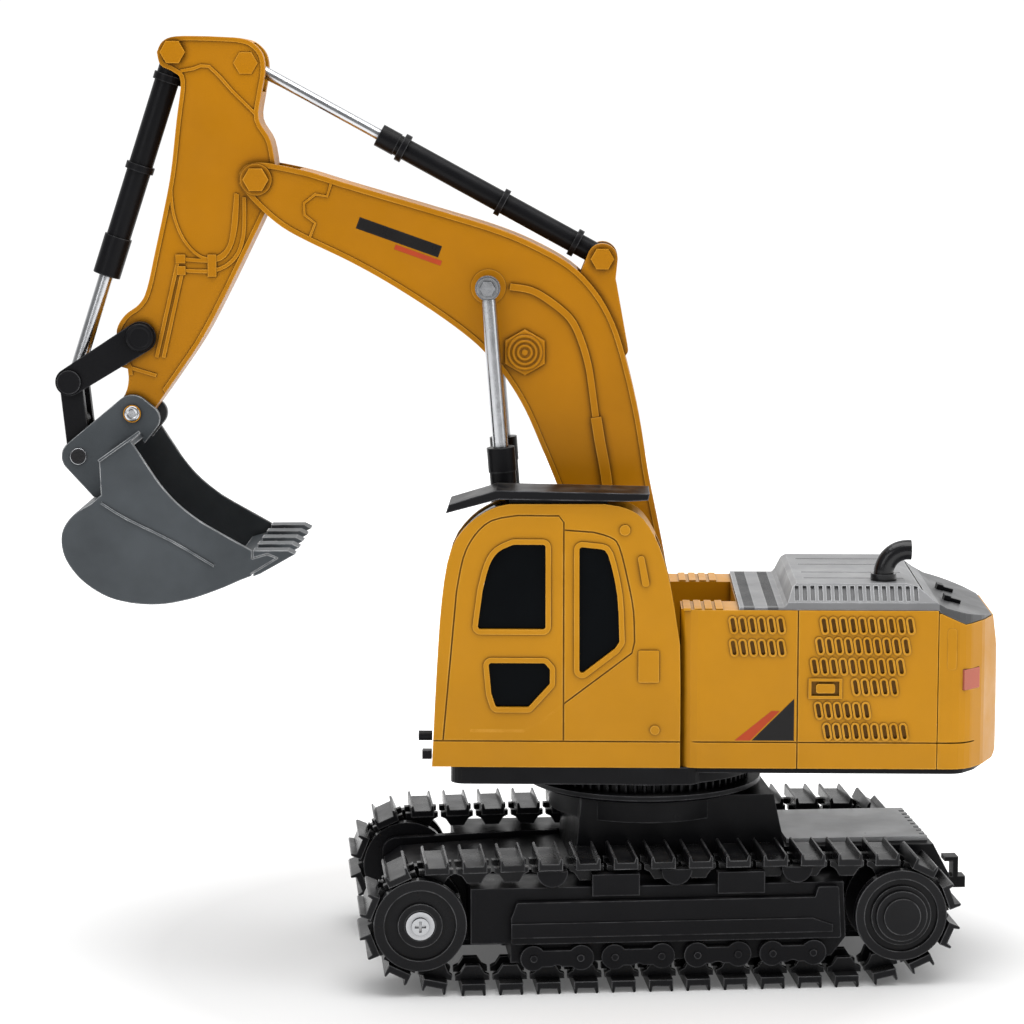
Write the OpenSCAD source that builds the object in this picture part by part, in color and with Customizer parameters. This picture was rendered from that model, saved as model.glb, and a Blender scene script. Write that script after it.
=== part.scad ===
// Toy excavator, tracked, with a slewing house and a three-piece digging arm.
// Frame: +X forwards (bucket side), +Y to the cab side, +Z up.
// Origin: on the ground, under the middle of the toy's overall length and width. Millimetres.
// Places below are measured from the slewing axis, then shifted by mid_x.

/* [Tracks] */
// Distance between the sprocket axle and the idler axle
wheel_base = 163; // [150:1:190]
// Distance between the middles of the two tracks
track_gauge = 85; // [80:1:110]
// Width of a track pad
track_w = 25; // [22:1:30]
// Height of the wheel axles above the ground
axle_z = 24.4; // [24:0.2:27]
// Nominal length of one track link
link_pitch = 12.7; // [11:0.1:14]
// Radius of the sprocket and idler discs
disc_r = 15.6; // [14:0.1:15.8]
// Number of teeth on the sprocket
sprocket_teeth = 8; // [8:1:8]

/* [Chassis] */
// Width of the chassis body between the track frames
chassis_w = 54; // [44:1:60]
// Height of the top of the slewing flange
flange_z = 64; // [60:0.5:64]
// Radius of the slewing flange
flange_r = 41; // [38:0.5:44]
// Angle of the house against the tracks as the toy stands
rest_slew = 6.2; // [0:0.2:30]

/* [Slew drive] */
// Tooth size (module) of the slewing gears
gear_module = 1; // [0.8:0.1:1.1]
// Teeth on the fixed slewing ring
ring_teeth = 72; // [60:6:78]
// Teeth on the slewing pinion
pinion_teeth = 12; // [12:1:14]

/* [House] */
// Width of the house
house_w = 80; // [76:1:96]
// Height of the underside of the yellow bodywork
floor_z = 73.8; // [72:0.2:76]
// Height of the deck and of the top of the side panels
deck_z = 128; // [122:1:134]
// Width of the channel that the boom works in
channel_w = 42.8; // [42:0.2:48]
// Thickness of the moulded walls
wall = 1.8; // [1.4:0.1:2.4]

/* [Boom] */
// Outer width of the boom
boom_w = 21; // [19:0.2:21.2]
// Boom pivot in the house: forwards, up
boom_pin = [0, 110]; // [-4:1:114]
// Pivot of the stick at the boom's tip: forwards, up
stick_pin = [132.9, 271]; // [130:1:274]
// Bolt of the boom cylinder rods on the boom: forwards, up
boom_rod_pin = [53.8, 234.6]; // [50:1:238]
// Bolt of the stick cylinder barrel on the boom bracket: forwards, up
stick_barrel_pin = [14.9, 244.1]; // [10:1:248]

/* [Stick] */
// Outer width of the stick
stick_w = 16.4; // [14:0.2:16.6]
// Bolt of the stick cylinder rod: forwards, up
stick_rod_pin = [136.3, 310.3]; // [134:1:312]
// Bolt of the bucket cylinder barrel: forwards, up
bucket_barrel_pin = [161, 314]; // [158:1:316]
// Pivot of the rocker arms: forwards, up
rocker_pin = [173.3, 217.1]; // [171:1:219]
// Pin that joins the rocker arms and the link: forwards, up
link_pin = [197.9, 201.7]; // [195:1:204]

/* [Bucket] */
// Width of the bucket
bucket_w = 70; // [60:1:84]
// Pivot of the bucket on the stick: forwards, up
bucket_pin = [176.3, 190.9]; // [175:1:192]
// Bolt of the link on the bucket's ears: forwards, up
ear_pin = [195.2, 176]; // [194:1:177]
// Number of digging teeth
bucket_teeth_n = 5; // [4:1:6]

/* [Cylinders] */
// Foot of the boom cylinders in the house: forwards, up
boom_foot_pin = [42, 86]; // [38:1:90]
// Diameter of the boom cylinder barrels
boom_barrel_d = 9; // [8:0.2:9.4]
// Diameter of the boom cylinder rods
boom_rod_d = 5.2; // [4.4:0.2:5.6]
// Diameter of the stick cylinder barrel
stick_barrel_d = 7.4; // [6.6:0.2:8]
// Diameter of the stick cylinder rod
stick_rod_d = 4; // [3.4:0.2:4.4]
// Diameter of the bucket cylinder barrel
bucket_barrel_d = 8.4; // [7.6:0.2:9]
// Diameter of the bucket cylinder rod
bucket_rod_d = 5; // [4.2:0.2:5.4]

/* [Placing] */
// How far the middle of the toy's length lies ahead of the slewing axis
mid_x = 39.93; // [30:0.01:50]

/* [Fits] */
// Gap around a shaft or rod that turns or slides in its bore
run_gap = 0.05; // [0.03:0.01:0.1]
// Gap between the faces of pieces that move past each other
side_gap = 0.4; // [0.3:0.1:0.6]
// Gap between moulded pieces that are screwed together
joint_gap = 0.05; // [0.02:0.01:0.1]

/* [Hidden] */
$fn = 48;

yellow = [0.80, 0.54, 0.07];
black = [0.09, 0.09, 0.10];
grey = [0.50, 0.51, 0.52];
chrome = [0.80, 0.81, 0.83];
slate = [0.24, 0.26, 0.28];
steel = [0.62, 0.63, 0.65];

// ---------- outlines and placing ----------

// A point of the smooth curve through four points
function spline(a, b, c, d, t) =
  (2 * b + (c - a) * t + (2 * a - 5 * b + 4 * c - d) * t * t + (3 * b - a - 3 * c + d) * t * t * t) / 2;
// A smooth open curve through points p, with n steps between neighbours
function curve(p, n = 4) = concat(
  [for (i = [0 : len(p) - 2], k = [0 : n - 1])
    spline(p[max(i - 1, 0)], p[i], p[i + 1], p[min(i + 2, len(p) - 1)], k / n)],
  [p[len(p) - 1]]);
// Direction of a path at its point i
function heading(p, i) = let (d = p[min(i + 1, len(p) - 1)] - p[max(i - 1, 0)]) d / norm(d);
// One side of a path, moved sideways by s
function beside(p, s) = [for (i = [0 : len(p) - 1]) let (d = heading(p, i)) p[i] + s * [-d[1], d[0]]];
function reversed(p) = [for (i = [len(p) - 1 : -1 : 0]) p[i]];
// Outline of a strip of width w along a path
function strip(p, w) = concat(beside(p, w / 2), reversed(beside(p, -w / 2)));
function direction(a, b) = atan2(b[1] - a[1], b[0] - a[0]);

// Side-view outline made solid between y0 and y1
module slab(y0, y1) {
  translate([0, y1, 0]) rotate([90, 0, 0]) linear_extrude(y1 - y0) children();
}

// The same slab on both sides of the middle
module slabs(y0, y1) {
  slab(y0, y1) children();
  slab(-y1, -y0) children();
}

// Round bar across the toy at side-view point p
module bar(p, y0, y1, d) {
  translate([p[0], y1, p[1]]) rotate([90, 0, 0]) cylinder(d = d, h = y1 - y0);
}

// Hexagonal bolt head across the toy
module hex_head(p, y0, y1, d) {
  translate([p[0], y1, p[1]]) rotate([90, 0, 0]) cylinder(d = d, h = y1 - y0, $fn = 6);
}

// Bolt head, or its mirror image on the other side
module head(p, y, h, d, side) {
  if (side > 0) hex_head(p, y, y + h, d);
  else hex_head(p, -y - h, -y, d);
}

module disc(p, r) {
  translate(p) circle(r);
}

// Side-view strip between two round ends
module bone(a, b, ra, rb) {
  hull() {
    disc(a, ra);
    disc(b, rb);
  }
}

// Outline with its corners rounded by r
module soft(r) {
  offset(r, $fn = 24) offset(delta = -r) children();
}

module mirrored(side) {
  if (side > 0) children();
  else mirror([0, 1, 0]) children();
}

// From the slewing axis to the toy's own origin
module placed() {
  translate([-mid_x, 0, 0]) children();
}

// The undercarriage, turned by the angle at which the house stands to it
module under() {
  rotate([0, 0, rest_slew]) children();
}

// ---------- tracks ----------

half_base = wheel_base / 2;
link_back = 4.9;
pad_inset = 0.8;
pad_t = 2.3;
rail_h = 4;
pin_r = link_pitch / 2 / sin(180 / sprocket_teeth);
upper_run_z = 46.5;
lower_turn_x = half_base - 11.5;
upper_turn_x = half_base - 36;
turn_r = 8;
// Wheels and guides that the track's pin line bends around: forwards, up, radius
bends = [[lower_turn_x, link_back + turn_r, turn_r], [half_base, axle_z, pin_r],
  [upper_turn_x, upper_run_z - link_back - turn_r, turn_r],
  [-upper_turn_x, upper_run_z - link_back - turn_r, turn_r],
  [-half_base, axle_z, pin_r], [-lower_turn_x, link_back + turn_r, turn_r]];
bend_n = len(bends);
function centre(b) = [b[0], b[1]];
// Angle of the touching line's normal from bend a to bend b
function touch(a, b) = let (d = centre(b) - centre(a)) atan2(d[1], d[0]) - acos((a[2] - b[2]) / norm(d));
function turn(i) = let (b = bends[i % bend_n], a = bends[(i + bend_n - 1) % bend_n],
  c = bends[(i + 1) % bend_n],
  t0 = touch(a, b), t1 = touch(b, c)) [t0, (t1 - t0 + 720) % 360];
function straight(i) = let (a = bends[i % bend_n], b = bends[(i + 1) % bend_n])
  sqrt(pow(norm(centre(b) - centre(a)), 2) - pow(a[2] - b[2], 2));
// Length of the pin line along each bend, and along each straight after it
runs = [for (i = [0 : bend_n - 1]) each [turn(i)[1] * PI / 180 * bends[i][2], straight(i)]];
function total(v, n) = n <= 0 ? 0 : v[n - 1] + total(v, n - 1);
loop_len = total(runs, len(runs));
link_n = round(loop_len / link_pitch);
link_step = loop_len / link_n;
function rim(b, a) = centre(b) + b[2] * [cos(a), sin(a)];
// Point of the pin line at distance s, looking from run k onwards
function along(s, k = 0) = s <= runs[k] || k == len(runs) - 1 ?
  let (i = floor(k / 2), b = bends[i], t = turn(i))
  (k % 2 == 0 ? rim(b, t[0] + s / b[2] * 180 / PI)
    : rim(b, t[0] + t[1]) + s * [-sin(t[0] + t[1]), cos(t[0] + t[1])])
  : along(s - runs[k], k + 1);

// Side view of one link's pad with its two fins; pin line on the X axis, outside downwards
pad_l = 8.2;
fin_t = 1.3;
module pad_side() {
  x = pad_l / 2;
  back = -pad_inset - pad_t;
  polygon([[-x, -pad_inset], [-x, -link_back + 0.5], [-x + 0.3, -link_back], [-x + 0.8, -link_back],
    [-x + fin_t, back], [x - fin_t, back], [x - 0.8, -link_back], [x - 0.3, -link_back],
    [x, -link_back + 0.5], [x, -pad_inset]]);
}

rail_gap = 4.2;
rail_t = 2.6;
rail_end = 0.55;
// Side view of one link's guide rail, with room for its neighbours to fold
module rail_side() {
  x = link_pitch / 2 - rail_end;
  polygon([[-x, -pad_inset - 0.3], [-x, 0.6], [-pad_l / 2, 1.4], [-2.4, rail_h], [2.4, rail_h],
    [pad_l / 2, 1.4], [x, 0.6], [x, -pad_inset - 0.3]]);
}

module track_link() {
  slab(-track_w / 2, track_w / 2) pad_side();
  slabs(rail_gap, rail_gap + rail_t) rail_side();
}

module track(side) {
  color(black) placed() under() translate([0, side * track_gauge / 2, 0])
    for (i = [0 : link_n - 1]) {
      a = along(i * link_step);
      b = along(((i + 1) % link_n) * link_step);
      mid = (a + b) / 2;
      translate([mid[0], 0, mid[1]]) rotate([0, -direction(a, b), 0]) track_link();
    }
}

// ---------- wheels ----------

disc_t = 3.8;
disc_y = track_w / 2 - 0.5;
drum_r = 9.5;
axle_d = 6;
frame_plate_t = 3;
// Places across the track, outwards from the middle of it
inner_face = -disc_y;
plate_face = inner_face - side_gap;
tooth_r = disc_r;

module wheel_body() {
  bar([0, 0], disc_y - disc_t, disc_y, 2 * disc_r);
  bar([0, 0], -disc_y, -disc_y + disc_t, 2 * disc_r);
  bar([0, 0], -disc_y + 1, disc_y - 1, 2 * drum_r);
}

module sprocket(side) {
  color(black) placed() under() translate([half_base, side * track_gauge / 2, axle_z]) mirrored(side) {
    difference() {
      union() {
        wheel_body();
        slab(-rail_gap + side_gap, rail_gap - side_gap) for (i = [0 : sprocket_teeth - 1])
          rotate(i * 360 / sprocket_teeth + 22.5)
            polygon([[drum_r - 1, -2.6], [tooth_r, -1.2], [tooth_r, 1.2], [drum_r - 1, 2.6]]);
      }
      difference() {
        bar([0, 0], disc_y - 1.4, disc_y + 1, 24);
        bar([0, 0], disc_y - 2, disc_y + 2, 15);
      }
      bar([0, 0], disc_y - 0.6, disc_y + 1, 10.2);
      bar([0, 0], disc_y - 9, disc_y + 1, 2.6);
    }
    bar([0, 0], inner_face - side_gap - frame_plate_t - 8, inner_face + 1, axle_d);
  }
}

module sprocket_screws(side) {
  color(chrome) placed() under() translate([half_base, side * track_gauge / 2, axle_z]) mirrored(side) {
    difference() {
      union() {
        bar([0, 0], disc_y - 0.55, disc_y + 0.35, 9.6);
        bar([0, 0], disc_y + 0.3, disc_y + 1.3, 5.8);
      }
      slab(disc_y + 0.6, disc_y + 2) union() {
        square([3.8, 0.9], center = true);
        square([0.9, 3.8], center = true);
      }
    }
    bar([0, 0], disc_y - 8.8, disc_y, 2.6 - 0.06);
  }
}

module idler(side) {
  color(black) placed() under() translate([-half_base, side * track_gauge / 2, axle_z]) mirrored(side) {
    difference() {
      wheel_body();
      difference() {
        bar([0, 0], disc_y - 1.2, disc_y + 1, 25);
        bar([0, 0], disc_y - 2, disc_y + 2, 20.5);
      }
      bar([0, 0], -disc_y - 1, disc_y + 1, axle_d + 2 * run_gap);
    }
  }
}

module idler_cap(side) {
  color(black) placed() under() translate([-half_base, side * track_gauge / 2, axle_z]) mirrored(side) {
    bar([0, 0], disc_y + 0.1, disc_y + 1.3, 17.4);
    bar([0, 0], disc_y + 1.2, disc_y + 2.2, 12.6);
  }
}

// ---------- chassis ----------

half_chassis = chassis_w / 2;
chassis_bottom = 12;
nose_top = 34;
tail_top = 42.4;
tower_top = 61;
tail_x = 98;
nose_x = 58;
nose_tip = 90;
gap = side_gap;
// Inner face of each track frame's long plate, measured from the toy's middle
plate_y = track_gauge / 2 + plate_face - frame_plate_t;

module chassis_side() {
  polygon([[-tail_x - 6, 31], [-tail_x, tail_top], [-46, tail_top], [-42, tower_top], [24.5, tower_top],
    [27, nose_top + 2], [nose_x, nose_top], [nose_tip - 6, nose_top - 1.5], [nose_tip, 28.5],
    [nose_tip, chassis_bottom], [-tail_x - 1, chassis_bottom]]);
}

module chassis_body() {
  color(black) placed() under() difference() {
    union() {
      slab(-half_chassis, half_chassis) chassis_side();
      translate([0, 0, tower_top - 8]) cylinder(r = 33, h = 8);
    }
    difference() {
      slab(-half_chassis + 2, half_chassis - 2) polygon([[-tail_x - 1, 30], [-tail_x + 2, tail_top - 2.5],
        [-43.4, tail_top - 2.5], [-39.4, tower_top - 2.5], [22, tower_top - 2.5], [24.6, nose_top - 0.4],
        [nose_x, nose_top - 2.2], [nose_tip - 7, nose_top - 3.7], [nose_tip - 2, 26.5], [nose_tip - 2, chassis_bottom - 1],
        [-tail_x + 2, chassis_bottom - 1]]);
      for (x = cover_screw_x, y = [-1, 1] * cover_screw_y) translate([x, y, chassis_bottom]) cylinder(d = 7, h = 12);
    }
    for (x = cover_screw_x, y = [-1, 1] * cover_screw_y)
      translate([x, y, chassis_bottom - 1]) cylinder(d = cover_screw_d, h = 8);
    bar([half_base, axle_z], -half_chassis - 1, half_chassis + 1, axle_d + 2 * run_gap);
    translate([0, 0, tower_top - 6]) cylinder(d = kingpin_d, h = 12);
  }
}

module chassis_cover() {
  color(black) placed() under() difference() {
    slab(-half_chassis, half_chassis)
      polygon([[-tail_x, chassis_bottom - 2], [nose_tip - 1, chassis_bottom - 2],
        [nose_tip - 1, chassis_bottom - joint_gap], [-tail_x, chassis_bottom - joint_gap]]);
    for (x = cover_screw_x, y = [-1, 1] * cover_screw_y)
      translate([x, y, chassis_bottom - 3]) cylinder(d = cover_screw_d, h = 4);
  }
}

cover_screw_d = 3;
cover_screw_x = [-tail_x + 8, nose_x - 8];
cover_screw_y = half_chassis - 5;
module chassis_screws() {
  color(steel) placed() under() for (x = cover_screw_x, y = [-1, 1] * cover_screw_y) translate([x, y, 0]) {
    translate([0, 0, chassis_bottom - 1.9]) cylinder(d = cover_screw_d - 0.06, h = 6);
    difference() {
      translate([0, 0, chassis_bottom - 3.2]) cylinder(d = 5.4, h = 1.15);
      translate([0, 0, chassis_bottom - 3]) cube([3.6, 0.8, 1], center = true);
      translate([0, 0, chassis_bottom - 3]) cube([0.8, 3.6, 1], center = true);
    }
  }
}

kingpin_d = 16;
kingpin_top = 84;
module slew_flange() {
  color(black) placed() difference() {
    union() {
      translate([0, 0, tower_top + joint_gap])
        cylinder(r1 = 38, r2 = flange_r, h = flange_z - tower_top - joint_gap - 1.6);
      translate([0, 0, flange_z - 1.61]) cylinder(r = flange_r, h = 1.61);
      translate([0, 0, tower_top - 5]) cylinder(d = kingpin_d - 2 * joint_gap, h = kingpin_top - tower_top + 5);
    }
    translate([0, 0, tower_top - 6]) cylinder(d = kingpin_d - 5, h = kingpin_top);
  }
}

// Side flanks of the slewing gears: tooth width at the root and at the tip, against the pitch
root_share = 0.52;
tip_share = 0.2;
addendum = 0.75 * gear_module;
dedendum = 1.1 * gear_module;
module gear_2d(teeth) {
  pitch_r = teeth * gear_module / 2;
  step = 360 / teeth;
  root = pitch_r - dedendum;
  tip = pitch_r + addendum;
  polygon([for (i = [0 : teeth - 1]) for (e = [[root, -root_share / 2], [tip, -tip_share / 2],
    [tip, tip_share / 2], [root, root_share / 2]]) e[0] * [cos((i + e[1]) * step), sin((i + e[1]) * step)]]);
}

ring_r = ring_teeth * gear_module / 2;
ring_t = 3;
module slew_ring() {
  color(black) placed() translate([0, 0, flange_z + joint_gap]) linear_extrude(ring_t) difference() {
    gear_2d(ring_teeth);
    circle(ring_r - 6);
  }
}

module rear_deck() {
  color(grey) placed() under() difference() {
    slab(-half_chassis + 5, half_chassis - 5) polygon([[-tail_x + 1, tail_top + joint_gap], [-tail_x + 1, tail_top + 1.6],
      [-47.5, tail_top + 1.6], [-47.5, tail_top + joint_gap]]);
    for (i = [0 : 7]) translate([-tail_x, -17.5 + 5 * i, tail_top - 1]) cube([3.2, 2, 4]);
  }
}

module tow_hook() {
  y = 3;
  color(black) placed() under() difference() {
    slab(-y, y) polygon([[-tail_x - 3.5, 20.5], [-tail_x - 4.5, 24.5], [-tail_x - 12.4, 24.5],
      [-tail_x - 12.4, 30], [-tail_x - 9.5, 30], [-tail_x - 9.5, 31.6], [-tail_x - 14.4, 31.6],
      [-tail_x - 14.4, 24.5], [-tail_x - 17, 24.5], [-tail_x - 17, 20.5]]);
    translate([-tail_x - 9.2, 0, 18]) cylinder(d = 4, h = 12);
  }
}

box_x = [nose_x + 0.3, nose_tip - 2.3];
module drive_gearboxes() {
  y0 = 14;
  y1 = half_chassis - 2.1;
  color(black) placed() under() for (side = [1, -1]) mirrored(side) difference() {
    slab(y0, y1) soft(2) polygon([[box_x[0], 13], [box_x[1], 13], [box_x[1], 25], [box_x[1] - 4.7, 29.4],
      [box_x[0], 31]]);
    bar([half_base, axle_z], y0 - 1, y1 + 1, axle_d + 2 * run_gap);
  }
}

module drive_motors() {
  color(steel) placed() under() for (side = [1, -1]) mirrored(side) translate([0, -0.1, 0]) {
    bar([half_base - 8, axle_z - 0.6], 1.4, 13.9, 12);
    bar([half_base - 8, axle_z - 0.6], 0.6, 1.5, 5);
  }
}

skirt_x = [-61, 51];
skirt_z = [13.5, 36];
module track_frame(side) {
  y_mid = track_gauge / 2;
  out = y_mid + disc_y - 2.6;
  color(black) placed() under() mirrored(side) difference() {
    union() {
      slab(plate_y, plate_y + frame_plate_t) soft(5) polygon([[-half_base - 11, 15], [half_base + 9, 15],
        [half_base + 9, 35], [40, 37], [-40, 37], [-half_base - 11, 34]]);
      slab(plate_y + 1, out) polygon([[skirt_x[0] - 2, 17], [skirt_x[0] - 1, skirt_z[1]], [skirt_x[1], skirt_z[1]],
        [half_base - disc_r - 1.5, skirt_z[1]], [half_base - disc_r - 1.5, 17], [skirt_x[1], 17], [skirt_x[1], 10.4],
        [skirt_x[0] + 3, 10.4]]);
      slab(out - 1, out + 2.6) soft(0.8) polygon([[skirt_x[0], 17.2], [skirt_x[0] + 1, 35], [skirt_x[0] + 8, 35],
        [skirt_x[0] + 9, 31.5], [skirt_x[1] - 2, 31.5], [skirt_x[1], 26], [skirt_x[1], 17.2]]);
      slab(out - 1, out + 3.2) polygon([[skirt_x[0] + 3, 22], [skirt_x[0] + 10, 24.5], [skirt_x[1], 24.5],
        [skirt_x[1], 19.5], [skirt_x[0] + 3, 19.5]]);
      for (x = [-27, 15.5]) slab(out - 2, out + 1.2) translate([x - 8, 33]) square([16, 7.4]);
      bar([-half_base, axle_z], plate_y + 0.5, y_mid + disc_y - 0.2, axle_d);
      slab(plate_y + frame_plate_t - 0.5, plate_y + frame_plate_t + gap / 2)
        disc([-half_base, axle_z], 5);
    }
    bar([half_base, axle_z], plate_y - 1, plate_y + frame_plate_t + 1, axle_d + 2 * run_gap);
  }
}

carrier_x = [37, -5, -46];
module carrier_rollers() {
  y_out = track_gauge / 2 + rail_gap + rail_t;
  color(black) placed() under() for (side = [1, -1], x = carrier_x) mirrored(side) intersection() {
    union() {
      bar([x, 41.6], y_out + 0.8, y_out + 4.2, 10.4);
      slab(y_out + 0.8, y_out + 2.5) translate([x - 2, skirt_z[1] + joint_gap]) square([4, 3]);
    }
    translate([x - 20, 0, 30]) cube([40, 80, 11.8]);
  }
}

guard_x = [[48, 23], [20.6, -4.4], [-7.4, -30.4], [-33, -56]];
module roller_guards() {
  y_out = track_gauge / 2 + disc_y - 2.6;
  color(black) placed() under() for (side = [1, -1], g = guard_x) mirrored(side) {
    slab(y_out + 0.05, y_out + 3) difference() {
      union() {
        disc([g[0] - 4.4, 12.4], 4.3);
        disc([g[1] + 4.4, 12.4], 4.3);
        translate([g[1] + 4, 9.4]) square([g[0] - g[1] - 8, 5.6]);
      }
      disc([(g[0] + g[1]) / 2, 7.2], 2.8);
    }
    bar([g[0] - 4.6, 12.4], y_out + 2.9, y_out + 3.7, 2.4);
    bar([g[1] + 4.6, 12.4], y_out + 2.9, y_out + 3.7, 2.4);
  }
}

// ---------- house ----------

half_house = house_w / 2;
half_channel = channel_w / 2;
base_bottom = flange_z + joint_gap + ring_t + 0.65;
seam_x = -98.5;
cab_rear_x = -12;
front_x = 66;
rear_x = -123;
mid_seam_x = -51.3;
seam_z = 82.8;

// Plan of the house behind the cab, with its rounded tail
module plan(inset = 0) {
  offset(delta = -inset) soft(9) intersection() {
    disc([rear_x + 62, 0], 62);
    translate([rear_x - 1, -half_house]) square([200, house_w]);
  }
  translate([-90, -half_house + inset]) square([60, house_w - 2 * inset]);
}

pinion_at = (ring_teeth + pinion_teeth) / 2 * gear_module;
pinion_angle = -45;
pinion_x = pinion_at * cos(pinion_angle);
pinion_y = pinion_at * sin(pinion_angle);
pinion_shaft_d = 3;
bracket_y = [boom_w / 2 + 0.7 + side_gap, half_channel - 0.4];

module house_base() {
  plate_z = floor_z - 0.1;
  foot_y = [boom_eye_y - boom_barrel_d / 2 - 0.9, 0];
  color(black) placed() difference() {
    union() {
      translate([0, 0, base_bottom]) linear_extrude(plate_z - base_bottom) soft(5)
        translate([-18.7, -half_house + 1]) square([front_x + 18.7, house_w - 2]);
      translate([0, 0, base_bottom]) cylinder(r = flange_r - 1, h = plate_z - base_bottom);
      translate([0, 0, plate_z - 2.2]) linear_extrude(2.2) plan(3);
      translate([0, 0, plate_z - 1]) cylinder(d = kingpin_d + 8, h = 7);
      slabs(bracket_y[0], bracket_y[0] + 4) polygon([[-16, plate_z - 1], [-9, boom_pin[1]], [-6, boom_pin[1] + 6],
        [6, boom_pin[1] + 6], [9, boom_pin[1]], [16, plate_z - 1]]);
      for (x = [-23, 13.5]) translate([x, -7, plate_z - 1]) cube([4.5, 14, floor_z + 11.45 - plate_z + 1]);
      for (x = [-91, -41], y = [-33.3, 33.3]) translate([x, y, plate_z - 1]) cylinder(d = 4, h = 108 - plate_z + 0.95);
      slabs(foot_y[0] - 3, foot_y[0]) polygon([[30, plate_z - 1], [36, boom_foot_pin[1] + 3], [39, boom_foot_pin[1] + 5.5],
        [45, boom_foot_pin[1] + 5.5], [48, boom_foot_pin[1] + 3], [54, plate_z - 1]]);
    }
    translate([0, 0, base_bottom - 1]) cylinder(d = kingpin_d - 2 * joint_gap + 2 * run_gap, h = 20);
    translate([pinion_x, pinion_y, base_bottom - 1]) cylinder(d = pinion_shaft_d + 2 * run_gap, h = 20);
    bar(boom_pin, -half_house, half_house, pivot_d + 2 * joint_gap);
    bar(boom_foot_pin, -foot_y[0] - 4, foot_y[0] + 4, foot_d + 2 * joint_gap);
  }
  color(steel) placed() bar(boom_foot_pin, -half_channel + 0.6, half_channel - 0.6, foot_d);
}

module kingpin_nut() {
  color(steel) placed() difference() {
    translate([0, 0, floor_z + 6.2]) cylinder(d = kingpin_d + 7, h = 3);
    translate([0, 0, floor_z + 5]) cylinder(d = kingpin_d - 2 * joint_gap + 0.04, h = 6);
  }
}

slot_w = 1.4;
slot_h = 5;
slot_step = 3.22;
slot_lean = 10;
slot_rim = 0.7;
// One leaning vent slot with its top left corner region at p
module slot_2d(p, grow = 0) {
  translate(p) rotate(-slot_lean) translate([0, -slot_h / 2]) offset(r = slot_w / 2 + grow, $fn = 12)
    square([0.01, slot_h - slot_w], center = true);
}

// Rows of slots: first slot's place, number of slots
slot_rows = [[-29, 125.4, 6], [-29.2, 117.7, 6], [-59.6, 125.4, 10], [-58.2, 118.4, 10], [-56.5, 111.4, 10],
  [-70.4, 104.4, 5], [-58, 96.3, 6], [-61, 89.1, 9]];
module slots_2d(grow = 0) {
  offset(delta = 0.001) for (row = slot_rows, i = [0 : row[2] - 1])
    slot_2d([row[0] - i * slot_step, row[1]], grow);
}

latch = [-65.3, 98.9, 9.4, 5];
deck_front_x = 46;
// Side view of the right-hand side box, ahead of the channel
module side_box_2d() {
  polygon([[cab_rear_x - 1, floor_z], [cab_rear_x - 1, deck_z], [20, deck_z], [26, deck_z - 9], [42, deck_z - 11],
    [50, deck_z - 30], [front_x, deck_z - 34], [front_x, floor_z]]);
}

module body_shell() {
  seam = 0.5;
  color(yellow) placed() for (side = [1, -1]) mirrored(side) latch_knob();
  color(yellow) placed() difference() {
    union() {
      difference() {
        intersection() {
          translate([0, 0, floor_z]) linear_extrude(deck_z - floor_z) plan();
          translate([seam_x + 0.15, -half_house, 0]) cube([cab_rear_x - seam_x - 0.15, house_w, 300]);
        }
        translate([seam_x - 1, -half_house + wall, floor_z - 1])
          cube([cab_rear_x - seam_x + 1 - wall, house_w - 2 * wall, deck_z - floor_z + 1 - wall]);
      }
      difference() {
        slab(-half_house, -half_channel) side_box_2d();
        slab(-half_house + wall, -half_channel - wall) difference() {
          offset(delta = -wall) side_box_2d();
          translate([cab_rear_x - 30, 0]) square([30 - wall, 300]);
        }
        slab(-half_house + wall, -half_channel - wall)
          translate([cab_rear_x - 5, floor_z - 1]) square([front_x - cab_rear_x + 5 - wall, 4]);
      }
      // Walls round the channel, under the deck
      translate([-31 - wall, -half_channel - wall, 101])
        cube([31 + cab_rear_x + 0.1, channel_w + 2 * wall, deck_z - 101 - 0.5]);
      slabs(half_house - 0.3, half_house + 0.45) difference() {
        slots_2d(slot_rim);
        slots_2d();
      }
      slabs(half_house - 0.3, half_house + 0.5) difference() {
        translate([latch[0] - 1, latch[1] - 1]) square([latch[2] + 2, latch[3] + 2]);
        translate([latch[0], latch[1]]) square([latch[2], latch[3]]);
      }
      for (x = [cab_rear_x - 3.2 : -3.6 : -28], y = [-half_house + 0.4, half_channel + 0.4])
        translate([x, y, deck_z - 0.3]) cube([2.4, half_house - half_channel - 0.8, 0.8]);
    }
    slabs(half_house - 1, half_house + 1) slots_2d();
    slabs(half_house - 0.9, half_house + 1) translate([latch[0], latch[1]]) square([latch[2], latch[3]]);
    slabs(half_house - 0.6, half_house + 1) {
      translate([mid_seam_x - seam / 2, floor_z - 1]) square([seam, deck_z]);
      translate([seam_x - 1, seam_z - seam / 2]) square([cab_rear_x - seam_x + 2, seam]);
    }
    // The channel that the boom works in, open at the front
    translate([-31, -half_channel, floor_z - 1]) cube([31 + cab_rear_x + 1, channel_w, 100]);
  }
}

module latch_knob() {
  slab(half_house - 1, half_house + 0.4) soft(0.8)
    translate([latch[0] + 1.4, latch[1] + 0.9]) square([latch[2] - 3, latch[3] - 1.8]);
}

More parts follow.
